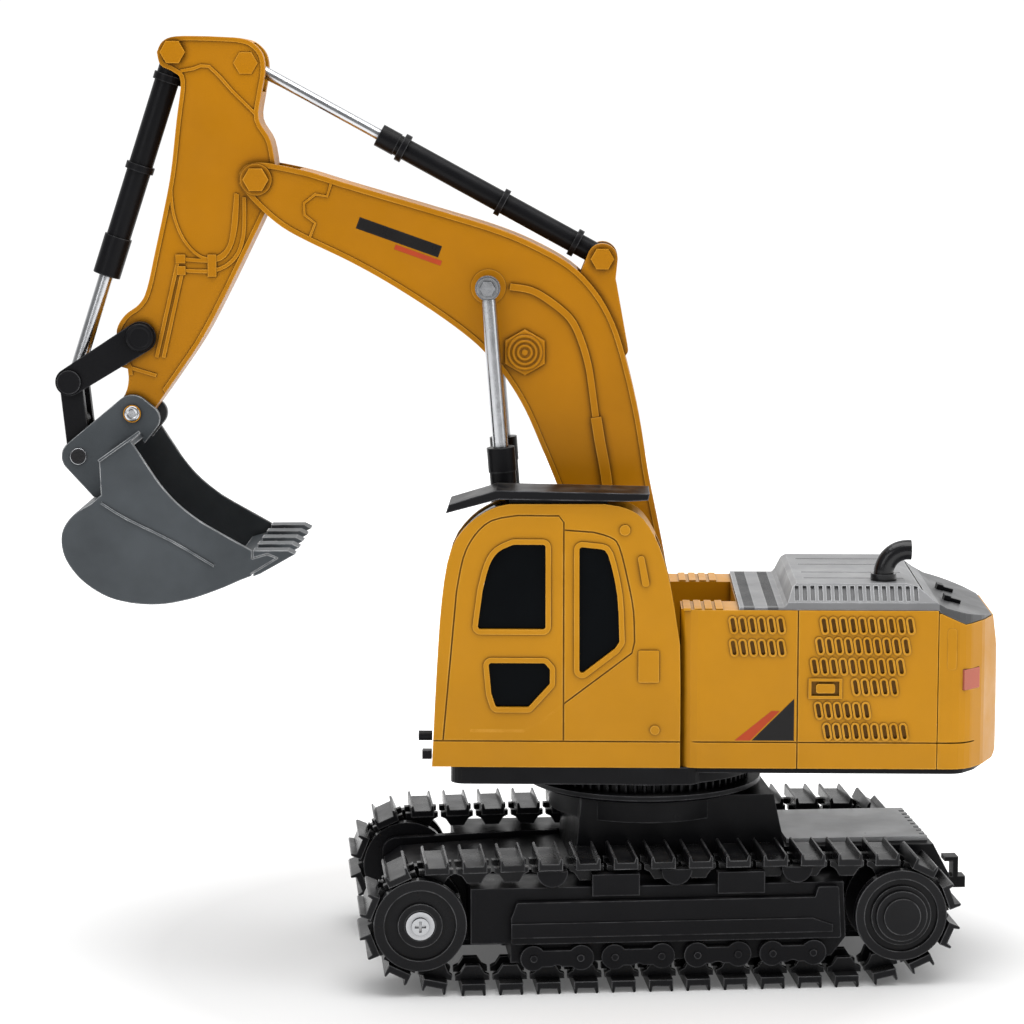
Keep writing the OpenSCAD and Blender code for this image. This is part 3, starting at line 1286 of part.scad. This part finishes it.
module bucket() {
  color(slate) placed() difference() {
    union() {
      difference() {
        slab(-half_bucket, half_bucket) bucket_2d();
        slab(-half_bucket + sheet, half_bucket - sheet) {
          offset(delta = -sheet) bucket_2d();
          bucket_mouth_2d();
        }
      }
      slabs(ear_in, ear_out) difference() {
        bucket_ear_2d();
        offset(delta = -0.6) bucket_2d();
      }
      slab(-half_bucket, half_bucket) polygon([[137.4, 136.7], [140, 142], [128, 145.6], [124.8, 144.4]]);
      slabs(half_bucket - 0.3, half_bucket + 0.5) {
        polygon(strip([[184.6, 177.2], [170.6, 187.2]], 1));
        polygon(strip(curve([[184, 163], [176, 158], [160, 150], [146, 141.6]], 3), 0.8));
      }
    }
    bar(bucket_pin, -half_bucket, half_bucket, pin_d + 2 * run_gap);
    bar(ear_pin, -half_bucket, half_bucket, ear_bolt_d + 2 * joint_gap);
  }
}

tooth_w = 7;
module bucket_teeth() {
  step = (bucket_w - tooth_w) / (bucket_teeth_n - 1);
  color(slate) placed() for (i = [0 : bucket_teeth_n - 1]) {
    y = -half_bucket + i * step;
    slab(y, y + tooth_w) polygon([[132.8, 146.9], [121, 147], [118.4, 145.7], [130.4, 138.9], [132.8, 138],
      [132.8, 139.25], [124.4, 144.4], [127.9, 145.9], [132.8, 144.4]]);
  }
}

module bucket_bolts() {
  color(steel) placed() {
    bar(ear_pin, -ear_out - 0.3, ear_out + 0.3, ear_bolt_d);
    for (side = [1, -1]) mirrored(side) bar(ear_pin, ear_out + 0.2, ear_out + 0.8, 5.2);
  }
}

chassis_body();
chassis_cover();
chassis_screws();
slew_flange();
slew_ring();
rear_deck();
tow_hook();
drive_gearboxes();
drive_motors();
track_frame(1);  // track_frame_left
track_frame(-1);  // track_frame_right
carrier_rollers();
roller_guards();
track(1);  // track_left
track(-1);  // track_right
sprocket(1);  // sprocket_left
sprocket(-1);  // sprocket_right
sprocket_screws(1);  // sprocket_screws_left
sprocket_screws(-1);  // sprocket_screws_right
idler(1);  // idler_left
idler(-1);  // idler_right
idler_cap(1);  // idler_cap_left
idler_cap(-1);  // idler_cap_right
house_base();
kingpin_nut();
body_shell();
counterweight();
engine_hood();
hood_clips();
exhaust_pipe();
tail_lights();
cab_shell();
cab_glass();
roof_visor();
cab_knob();
battery_pack();
control_board();
slew_motor();
slew_pinion();
boom_gearbox();
boom_pivot_pin();
color(yellow) placed() boom_shell();  // boom_shell_left
color(yellow) placed() mirror([0, 1, 0]) boom_shell();  // boom_shell_right
boom_bolts();
boom_barrels();
boom_rods();
boom_rod_bolts();
stick_barrel();
stick_rod();
color(yellow) placed() stick_shell();  // stick_shell_left
color(yellow) placed() mirror([0, 1, 0]) stick_shell();  // stick_shell_right
stick_bolts();
bucket_barrel();
bucket_rod();
rocker_arms();
rocker_pins();
bucket_link();
bucket();
bucket_teeth();
bucket_bolts();
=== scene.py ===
import math
import bmesh
import bpy
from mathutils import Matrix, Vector


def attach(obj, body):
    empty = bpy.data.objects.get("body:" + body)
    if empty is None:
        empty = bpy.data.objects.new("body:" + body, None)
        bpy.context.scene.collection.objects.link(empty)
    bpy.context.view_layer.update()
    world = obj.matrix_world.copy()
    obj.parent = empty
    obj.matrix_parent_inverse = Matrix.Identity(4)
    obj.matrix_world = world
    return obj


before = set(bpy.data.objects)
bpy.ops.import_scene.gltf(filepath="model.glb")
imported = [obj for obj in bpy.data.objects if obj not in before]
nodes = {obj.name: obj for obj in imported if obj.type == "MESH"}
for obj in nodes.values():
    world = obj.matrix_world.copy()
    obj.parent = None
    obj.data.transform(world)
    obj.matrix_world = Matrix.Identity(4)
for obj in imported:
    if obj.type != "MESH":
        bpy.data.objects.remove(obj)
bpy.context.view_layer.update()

MM = 0.001
MID_X = 39.93       # how far the toy's middle lies ahead of the slewing axis, mm


# --- Camera -------------------------------------------------------------------------------
# Stands level with the boom on the cab side, about a metre off, looking slightly down.
cam_data = bpy.data.cameras.new("camera")
cam_data.lens = 3253 / 1024 * 36
cam_data.sensor_width = 36
cam_data.clip_start, cam_data.clip_end = 0.05, 60
camera = bpy.data.objects.new("camera", cam_data)
bpy.context.scene.collection.objects.link(camera)
camera.location = ((18.6 - MID_X) * MM, 1.1207, 0.308)
yaw, pitch = math.radians(1.4), math.radians(7.74)
look = Vector((math.sin(yaw) * math.cos(pitch), -math.cos(yaw) * math.cos(pitch), -math.sin(pitch)))
camera.rotation_euler = look.to_track_quat("-Z", "Y").to_euler()
bpy.context.scene.camera = camera


# --- Floor and lights ---------------------------------------------------------------------
# A white sweep that glows more the further it is from the toy, so that the toy's soft shadow
# fades into white, and three soft boxes. The room is white only behind the toy and dim elsewhere,
# which keeps the blacks deep.
def nodes_of(material):
    material.use_nodes = True
    tree = material.node_tree
    return tree, tree.nodes["Principled BSDF"]


def pale_floor():
    floor_mesh = bpy.data.meshes.new("floor")
    edge = 1.5
    corners = [(-edge, -edge, 0), (edge, -edge, 0), (edge, edge, 0), (-edge, edge, 0)]
    floor_mesh.from_pydata(corners, [], [(0, 1, 2, 3)])
    floor = bpy.data.objects.new("floor", floor_mesh)
    bpy.context.scene.collection.objects.link(floor)
    paint = bpy.data.materials.new("pale_table")
    tree, shader = nodes_of(paint)
    shader.inputs["Base Color"].default_value = (0.62, 0.62, 0.62, 1)
    shader.inputs["Emission Color"].default_value = (1, 1, 1, 1)
    place, away, glow = (tree.nodes.new(kind) for kind in
                         ("ShaderNodeTexCoord", "ShaderNodeVectorMath", "ShaderNodeMapRange"))
    away.operation = "LENGTH"
    tree.links.new(place.outputs["Object"], away.inputs[0])
    tree.links.new(away.outputs["Value"], glow.inputs["Value"])
    for socket, v in (("From Min", 0.13), ("From Max", 0.34), ("To Min", 0.10), ("To Max", 0.95)):
        glow.inputs[socket].default_value = v
    tree.links.new(glow.outputs["Result"], shader.inputs["Emission Strength"])
    shader.inputs["Roughness"].default_value = 0.7
    shader.inputs["Specular IOR Level"].default_value = 0.2
    floor_mesh.materials.append(paint)


def soft_box(name, place, aim, size, power):
    lamp = bpy.data.lights.new(name, "AREA")
    lamp.shape, lamp.size, lamp.size_y, lamp.energy = "RECTANGLE", size[0], size[1], power
    box = bpy.data.objects.new(name, lamp)
    bpy.context.scene.collection.objects.link(box)
    box.location = place
    box.rotation_euler = (Vector(aim) - Vector(place)).to_track_quat("-Z", "Y").to_euler()


pale_floor()
soft_box("overhead_box", (0.05, 0.1, 1.35), (0, 0, 0.1), (1.5, 1.1), 23)
soft_box("front_box", (0.9, 1.3, 0.75), (0, 0, 0.15), (0.7, 0.9), 4.6)
soft_box("far_side_box", (-1.1, 0.6, 0.6), (0, 0, 0.15), (0.6, 0.9), 3.4)
world = bpy.data.worlds.new("studio")
bpy.context.scene.world = world
world.use_nodes = True
room = world.node_tree
compass = room.nodes.new("ShaderNodeTexCoord")
split = room.nodes.new("ShaderNodeSeparateXYZ")
room.links.new(compass.outputs["Generated"], split.inputs[0])
fade = room.nodes.new("ShaderNodeMapRange")
for socket, v in (("From Min", -0.75), ("From Max", -0.1), ("To Min", 1.05), ("To Max", 0.30)):
    fade.inputs[socket].default_value = v
room.links.new(split.outputs["Y"], fade.inputs["Value"])
room.nodes["Background"].inputs["Color"].default_value = (1, 1, 1, 1)
room.links.new(fade.outputs["Result"], room.nodes["Background"].inputs["Strength"])
bpy.context.scene.view_settings.view_transform = "Standard"


# --- Undercarriage ------------------------------------------------------------------------
# Chassis, track frames, guards and covers: black moulded ABS, satin, with painted shade in the hollows and a
# painted highlight along the edges. Screwed together from below.
def moulded_plastic(name, colour, rough, edge_highlight_and_wear, edge_share=0.5, dust=0.0, grain=0.04, mottling=0.12,
                    gloss=0.14, crease=0.6):
    """Moulded plastic: slight mottling, fine grain, edges lightened towards the edge colour (a painted highlight,
    and wear on worn parts such as the bucket), painted shade in the corners, dust on top.
    """
    paint = bpy.data.materials.new(name)
    tree, shader = nodes_of(paint)
    new, link = tree.nodes.new, tree.links.new
    place = new("ShaderNodeTexCoord")

    def noise(scale, detail, rough_share=0.6):
        n = new("ShaderNodeTexNoise")
        n.inputs["Scale"].default_value, n.inputs["Detail"].default_value = scale, detail
        n.inputs["Roughness"].default_value = rough_share
        link(place.outputs["Object"], n.inputs["Vector"])
        return n.outputs["Fac"]

    def span(value, low, high, to_low=0.0, to_high=1.0):
        m = new("ShaderNodeMapRange")
        link(value, m.inputs["Value"])
        for socket, v in (("From Min", low), ("From Max", high), ("To Min", to_low), ("To Max", to_high)):
            m.inputs[socket].default_value = v
        return m.outputs["Result"]

    def mixed(factor, a, b):
        m = new("ShaderNodeMix")
        m.data_type = "RGBA"
        link(factor, m.inputs["Factor"])
        for socket, v in ((m.inputs[6], a), (m.inputs[7], b)):
            if isinstance(v, tuple):
                socket.default_value = (*v, 1)
            else:
                link(v, socket)
        return m.outputs[2]

    def times(a, b):
        m = new("ShaderNodeMath")
        m.operation = "MULTIPLY"
        for socket, v in ((m.inputs[0], a), (m.inputs[1], b)):
            if isinstance(v, float):
                socket.default_value = v
            else:
                link(v, socket)
        return m.outputs[0]

    light = tuple(min(c * (1 + mottling), 1) for c in colour)
    dark = tuple(c * (1 - mottling) for c in colour)
    tone = mixed(span(noise(28, 4), 0.35, 0.65), dark, light)
    # painted edge highlight, and wear on worn parts: where the rounded normal leaves the flat one
    rounded = new("ShaderNodeBevel")
    rounded.samples = 6
    rounded.inputs["Radius"].default_value = 0.0007
    flat = new("ShaderNodeNewGeometry")
    along = new("ShaderNodeVectorMath")
    along.operation = "DOT_PRODUCT"
    link(rounded.outputs["Normal"], along.inputs[0])
    link(flat.outputs["Normal"], along.inputs[1])
    corner = new("ShaderNodeAmbientOcclusion")
    corner.samples = 8
    corner.inputs["Distance"].default_value = 0.0026
    edge = times(span(along.outputs["Value"], 0.995, 0.9), span(noise(160, 3), 0.35, 0.62, 0.25, 1.0))
    edge = times(edge, span(corner.outputs["AO"], 0.7, 0.9))
    # painted shade: corners, creases and recesses darkened by ambient occlusion, scaled by the crease share
    painted_shade = times(span(corner.outputs["AO"], 0.94, 0.55), span(noise(55, 4), 0.3, 0.7, 0.7, 1.0))
    tone = mixed(times(painted_shade, crease), tone, tuple(c * 0.22 for c in colour))
    tone = mixed(times(edge, edge_share), tone, edge_highlight_and_wear)
    if dust:
        up = new("ShaderNodeSeparateXYZ")
        link(flat.outputs["Normal"], up.inputs[0])
        lying = times(span(up.outputs["Z"], 0.1, 0.95), span(noise(90, 5), 0.42, 0.7))
        tone = mixed(times(lying, dust), tone, (0.38, 0.36, 0.33))
    link(tone, shader.inputs["Base Color"])
    shader.inputs["Specular IOR Level"].default_value = gloss
    link(span(noise(75, 5), 0.3, 0.7, rough - 0.07, rough + 0.09), shader.inputs["Roughness"])
    bump = new("ShaderNodeBump")
    bump.inputs["Strength"].default_value, bump.inputs["Distance"].default_value = grain, 0.0004
    link(noise(1500, 2), bump.inputs["Height"])
    link(bump.outputs["Normal"], shader.inputs["Normal"])
    return paint


def finish_nodes(paint, names, round_edge=0.00025):
    """Gives CAD pieces their finish and the small edge radius that a mould leaves."""
    for name in names:
        piece = nodes[name]
        for socket in piece.material_slots:
            socket.material = paint
        if round_edge:
            clean = piece.modifiers.new("one_face_per_plane", "DECIMATE")
            clean.decimate_type, clean.angle_limit = "DISSOLVE", math.radians(0.6)
            edge = piece.modifiers.new("mould_radius", "BEVEL")
            edge.width, edge.segments, edge.limit_method = round_edge, 2, "ANGLE"
            edge.angle_limit = math.radians(35)
            edge.harden_normals = True


black_abs = moulded_plastic("black_abs", (0.006, 0.006, 0.007), 0.34, (0.10, 0.10, 0.105), 0.7, dust=0.04,
                            gloss=0.09)
finish_nodes(black_abs, ["chassis_body", "chassis_cover", "slew_flange", "tow_hook", "drive_gearboxes",
                         "track_frame_left", "track_frame_right", "carrier_rollers", "roller_guards",
                         "slew_ring"])
deck_grey = moulded_plastic("deck_grey", (0.42, 0.425, 0.435), 0.34, (0.6, 0.6, 0.6), 0.6, dust=0.2,
                            mottling=0.25, gloss=0.5)
finish_nodes(deck_grey, ["rear_deck"])


# --- Tracks and wheels --------------------------------------------------------------------
# Hard black plastic links clipped on thin pins, and wheels pressed on the axles. Glossier than
# the chassis, because every link has slid over the guides; each sprocket has a plated screw.
track_plastic = moulded_plastic("track_plastic", (0.007, 0.007, 0.008), 0.28, (0.16, 0.16, 0.165), 0.75,
                                dust=0.04)
finish_nodes(track_plastic, ["track_left", "track_right", "sprocket_left", "sprocket_right", "idler_left",
                             "idler_right", "idler_cap_left", "idler_cap_right"], 0.0002)


def bare_metal(name, colour, rough, brushed=(1, 1, 1), scratches=0.08):
    """Plated or turned steel: streaks along one direction, small stains and scratches, painted shade in the
    corners.
    """
    paint = bpy.data.materials.new(name)
    tree, shader = nodes_of(paint)
    new, link = tree.nodes.new, tree.links.new
    place, stretch = new("ShaderNodeTexCoord"), new("ShaderNodeMapping")
    stretch.inputs["Scale"].default_value = brushed
    link(place.outputs["Object"], stretch.inputs["Vector"])
    streak, stain = new("ShaderNodeTexNoise"), new("ShaderNodeTexNoise")
    streak.inputs["Scale"].default_value, streak.inputs["Detail"].default_value = 400, 4
    stain.inputs["Scale"].default_value, stain.inputs["Detail"].default_value = 60, 5
    link(stretch.outputs["Vector"], streak.inputs["Vector"])
    link(place.outputs["Object"], stain.inputs["Vector"])
    tone = new("ShaderNodeMix")
    tone.data_type = "RGBA"
    tone.inputs[6].default_value = (*(c * 0.78 for c in colour), 1)
    tone.inputs[7].default_value = (*colour, 1)
    link(stain.outputs["Fac"], tone.inputs["Factor"])
    # painted shade: the colour is multiplied by ambient occlusion, darkening corners and recesses
    corner, painted_corner_shade = new("ShaderNodeAmbientOcclusion"), new("ShaderNodeMix")
    corner.samples = 8
    corner.inputs["Distance"].default_value = 0.002
    painted_corner_shade.data_type, painted_corner_shade.blend_type = "RGBA", "MULTIPLY"
    painted_corner_shade.inputs["Factor"].default_value = 0.9
    link(tone.outputs[2], painted_corner_shade.inputs[6])
    link(corner.outputs["Color"], painted_corner_shade.inputs[7])
    link(painted_corner_shade.outputs[2], shader.inputs["Base Color"])
    haze = new("ShaderNodeMapRange")
    haze.inputs["To Min"].default_value, haze.inputs["To Max"].default_value = rough - 0.06, rough + 0.12
    link(streak.outputs["Fac"], haze.inputs["Value"])
    link(haze.outputs["Result"], shader.inputs["Roughness"])
    bump = new("ShaderNodeBump")
    bump.inputs["Strength"].default_value, bump.inputs["Distance"].default_value = scratches, 0.0003
    link(streak.outputs["Fac"], bump.inputs["Height"])
    link(bump.outputs["Normal"], shader.inputs["Normal"])
    shader.inputs["Metallic"].default_value = 1.0
    return paint


plated = bare_metal("plated_steel", (0.55, 0.56, 0.58), 0.20)
finish_nodes(plated, ["sprocket_screws_left", "sprocket_screws_right"], 0.00015)
turned_steel = bare_metal("turned_steel", (0.45, 0.45, 0.46), 0.34)
finish_nodes(turned_steel, ["chassis_screws", "kingpin_nut", "slew_pinion", "slew_motor",
                            "drive_motors", "boom_gearbox"], 0.0001)


# --- House base ---------------------------------------------------------------------------
# Black base plate that turns on the kingpin and carries the arm's brackets. Moulded ABS with
# a steel foot rod for the two boom cylinders, screwed up into the yellow bodywork.
finish_nodes(black_abs, ["house_base"])


# --- Yellow bodywork ----------------------------------------------------------------------
# Body shell with its vents, counterweight and cab: amber ABS coloured right through, satin, with a painted
# highlight along its corners and painted shade in its creases and recesses. Clipped together along the panel
# lines.
AMBER = (0.475, 0.208, 0.004)
amber_abs = moulded_plastic("amber_abs", AMBER, 0.36, (0.80, 0.43, 0.07), 0.5, grain=0.03, mottling=0.045,
                            gloss=0.16, crease=0.9)
finish_nodes(amber_abs, ["body_shell", "counterweight", "cab_shell"], 0.0003)


def flat_shape(name, outline, y, thick, paint, body):
    """A thin printed or moulded shape standing on a side panel, outline in mm from the slewing axis."""
    mesh = bmesh.new()
    front = [mesh.verts.new(((x - MID_X) * MM, (y + thick) * MM, z * MM)) for x, z in outline]
    back = [mesh.verts.new(((x - MID_X) * MM, y * MM, z * MM)) for x, z in outline]
    mesh.faces.new(front)
    mesh.faces.new(back[::-1])
    for i in range(len(front)):
        j = (i + 1) % len(front)
        mesh.faces.new((front[i], front[j], back[j], back[i]))
    bmesh.ops.recalc_face_normals(mesh, faces=mesh.faces)
    data = bpy.data.meshes.new(name)
    mesh.to_mesh(data)
    mesh.free()
    data.materials.append(paint)
    piece = bpy.data.objects.new(name, data)
    bpy.context.scene.collection.objects.link(piece)
    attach(piece, body)
    return piece


print_black = moulded_plastic("black_print", (0.012, 0.011, 0.011), 0.3, (0.06, 0.06, 0.06), 0.4)
print_red = moulded_plastic("red_print", (0.42, 0.055, 0.018), 0.32, (0.5, 0.1, 0.04), 0.4)
PANEL_Y, FILM = 40.0, 0.06
for side in (1, -1):
    y = PANEL_Y if side > 0 else -PANEL_Y - FILM
    tag = "left" if side > 0 else "right"
    flat_shape(f"body_wedge_{tag}", [(-50.2, 97.8), (-50.2, 83.4), (-36, 83.4)], y, FILM, print_black,
               "house")
    flat_shape(f"body_flash_{tag}", [(-45.4, 93.6), (-35.4, 83.4), (-30.2, 83.4), (-42.6, 93.6)], y, FILM,
               print_red, "house")


# --- Hood, lamps and exhaust --------------------------------------------------------------
# Grey hood with louvres and a dark rear cover, clipped on the deck; black exhaust elbow pushed
# into it. Red lamp lenses are glued into pockets in the counterweight.
hood_grey = moulded_plastic("hood_grey", (0.165, 0.167, 0.172), 0.38, (0.5, 0.51, 0.52), 0.75, dust=0.06,
                            gloss=0.3)


def banded(paint, bands, share):
    """Darkens a finish between places along the toy, given in mm from the slewing axis."""
    tree, shader = nodes_of(paint)
    new, link = tree.nodes.new, tree.links.new
    was = shader.inputs["Base Color"].links[0].from_socket
    place, split = new("ShaderNodeTexCoord"), new("ShaderNodeSeparateXYZ")
    link(place.outputs["Object"], split.inputs[0])
    for low, high in bands:
        inside = new("ShaderNodeMath")
        inside.operation = "COMPARE"
        link(split.outputs["X"], inside.inputs[0])
        inside.inputs[1].default_value = ((low + high) / 2 - MID_X) * MM
        inside.inputs[2].default_value = (high - low) / 2 * MM
        darker = new("ShaderNodeMix")
        darker.data_type, darker.blend_type = "RGBA", "MULTIPLY"
        darker.inputs[7].default_value = (share, share, share, 1)
        link(inside.outputs[0], darker.inputs["Factor"])
        link(was, darker.inputs[6])
        was = darker.outputs[2]
    link(was, shader.inputs["Base Color"])


# the rear cover, and the two ribbed mats at the front
banded(hood_grey, [(-130, -98.6), (-36.6, -33), (-44.6, -41)], 0.38)
finish_nodes(hood_grey, ["engine_hood"], 0.0002)
finish_nodes(black_abs, ["hood_clips"], 0.0002)
pipe_black = moulded_plastic("pipe_black", (0.005, 0.005, 0.006), 0.17, (0.06, 0.06, 0.065), 0.5, gloss=0.3)
finish_nodes(pipe_black, ["exhaust_pipe"], 0.0002)
lens_red = moulded_plastic("lens_red", (0.40, 0.09, 0.05), 0.12, (0.65, 0.25, 0.16), 0.4, gloss=0.3)
finish_nodes(lens_red, ["tail_lights"], 0.0002)


# --- Cab fittings -------------------------------------------------------------------------
# Dark smoked panes held from behind, a black sun visor on the roof and a catch at the front.
# The panes are glossy; the visor is satin, with dust on its top.
pane_dark = moulded_plastic("smoked_pane", (0.0015, 0.0022, 0.003), 0.10, (0.02, 0.02, 0.02), 0.2,
                            grain=0.004, gloss=0.03)
finish_nodes(pane_dark, ["cab_glass"], 0)
visor_black = moulded_plastic("visor_black", (0.007, 0.007, 0.008), 0.34, (0.17, 0.17, 0.18), 0.8, dust=0.12,
                              gloss=0.1)
finish_nodes(visor_black, ["roof_visor", "cab_knob"])


# --- Works inside the house ---------------------------------------------------------------
# Four wrapped cells and a bare circuit board on posts, hidden once the hood is on.
cell_wrap = moulded_plastic("cell_wrap", (0.02, 0.07, 0.28), 0.3, (0.1, 0.2, 0.5), 0.3)
finish_nodes(cell_wrap, ["battery_pack"], 0.0002)
board_green = moulded_plastic("board_green", (0.01, 0.12, 0.04), 0.45, (0.3, 0.3, 0.1), 0.3)
finish_nodes(board_green, ["control_board"], 0.0001)


# --- Boom and stick -----------------------------------------------------------------------
# Each is two amber half shells screwed together, with hoses and bosses moulded in relief.
# Their amber is a shade redder than the house's, and their bolt heads are the same amber.
# painted shade darkens the creases round the relief, and a painted highlight lightens its edges
arm_amber = moulded_plastic("arm_amber", (0.40, 0.158, 0.0015), 0.37, (0.78, 0.38, 0.05), 0.55, grain=0.03,
                            mottling=0.05, gloss=0.14, crease=0.95)
finish_nodes(arm_amber, ["boom_shell_left", "boom_shell_right", "stick_shell_left", "stick_shell_right"],
             0.00025)
finish_nodes(arm_amber, ["boom_bolts", "stick_bolts"], 0.0002)
BOOM_Y = 10.5
for side in (1, -1):
    y = BOOM_Y if side > 0 else -BOOM_Y - FILM
    tag = "left" if side > 0 else "right"
    flat_shape(f"boom_stripe_{tag}", [(99, 254.5), (71, 244.6), (69.6, 248.4), (97.6, 258.3)], y, FILM,
               print_black, "boom")
    flat_shape(f"boom_flash_{tag}", [(86, 247.4), (70.2, 241.8), (69.6, 243.4), (85.4, 249)], y, FILM,
               print_red, "boom")


def turned_cap(name, at, y, profile, paint, body, steps=32):
    """A round cap on a side: profile is (radius, height outwards) pairs in mm from its rim to its middle."""
    for side, tag in ((1, "left"), (-1, "right")):
        mesh = bmesh.new()
        rings = []
        for radius, height in profile:
            ring = []
            for k in range(steps):
                turn = 2 * math.pi * (k / steps + 0.25)
                ring.append(mesh.verts.new(((at[0] - MID_X + radius * math.cos(turn)) * MM,
                                            side * (y + height) * MM,
                                            (at[1] + radius * math.sin(turn)) * MM)))
            rings.append(ring)
        for a, b in zip(rings, rings[1:]):
            for k in range(steps):
                mesh.faces.new((a[k], a[(k + 1) % steps], b[(k + 1) % steps], b[k]))
        mesh.faces.new(rings[0])
        mesh.faces.new(rings[-1])
        bmesh.ops.recalc_face_normals(mesh, faces=mesh.faces)
        data = bpy.data.meshes.new(f"{name}_{tag}")
        mesh.to_mesh(data)
        mesh.free()
        data.materials.append(paint)
        data.polygons.foreach_set("use_smooth", [len(f.vertices) == 4 and steps > 6 for f in data.polygons])
        piece = bpy.data.objects.new(f"{name}_{tag}", data)
        bpy.context.scene.collection.objects.link(piece)
        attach(piece, body)


# the six-sided boss with its rings, moulded on the boom's side
BOSS = (41.3, 212.3)
BOSS_PLATE = [(7.9, 0), (7.9, 0.9), (7.5, 1.3)]
BOSS_RINGS = [(6.2, 0), (6.0, 0.65), (5.2, 0.65), (5.0, 0.12), (4.5, 0.12), (4.3, 0.65), (3.6, 0.65), (3.4, 0.12),
              (2.9, 0.12), (2.7, 0.65), (2.0, 0.65), (1.8, 0.12), (1.2, 0.12), (1.0, 0.65), (0.5, 0.65)]
turned_cap("boss_plate", BOSS, 10.7, BOSS_PLATE, arm_amber, "boom", 6)
turned_cap("boss_rings", BOSS, 11.9, BOSS_RINGS, arm_amber, "boom")


# --- Cylinders ----------------------------------------------------------------------------
# Black moulded barrels with raised collars, and plated steel rods that slide in them.
finish_nodes(black_abs, ["boom_barrels", "stick_barrel", "bucket_barrel"], 0.0002)
finish_nodes(plated, ["boom_rods", "stick_rod", "bucket_rod", "boom_rod_bolts", "boom_pivot_pin"], 0.0002)


# --- Linkage and bucket -------------------------------------------------------------------
# Black rocker arms and link on steel pins. The bucket is cast metal in slate paint, worn to
# bright metal along its edges and teeth and scratched by digging.
finish_nodes(black_abs, ["rocker_arms", "rocker_pins", "bucket_link"])
slate_paint = moulded_plastic("slate_paint", (0.055, 0.062, 0.068), 0.38, (0.50, 0.51, 0.52), 0.9, grain=0.10,
                              mottling=0.2)
finish_nodes(slate_paint, ["bucket", "bucket_teeth"], 0.0003)
finish_nodes(pipe_black, ["bucket_bolts"], 0.0002)


ROCKER_CAP = [(4.9, 0), (4.9, 0.7), (4.6, 1.15), (4.0, 1.35), (3.5, 1.25), (3.2, 1.1)]
PIVOT_RING = [(2.7, 0), (2.7, 0.9), (2.4, 1.15), (1.5, 1.15), (1.3, 0.95)]
turned_cap("rocker_pivot_cap", (173.3, 217.1), 11.56, ROCKER_CAP, black_abs, "stick")
turned_cap("bucket_pivot_ring", (176.3, 190.9), 11.34, PIVOT_RING, plated, "stick")
turned_cap("ear_bolt_ring", (195.2, 176), 11.27, [(2.9, 0), (2.9, 0.25), (2.75, 0.35), (2.65, 0.35)],
           plated, "bucket")
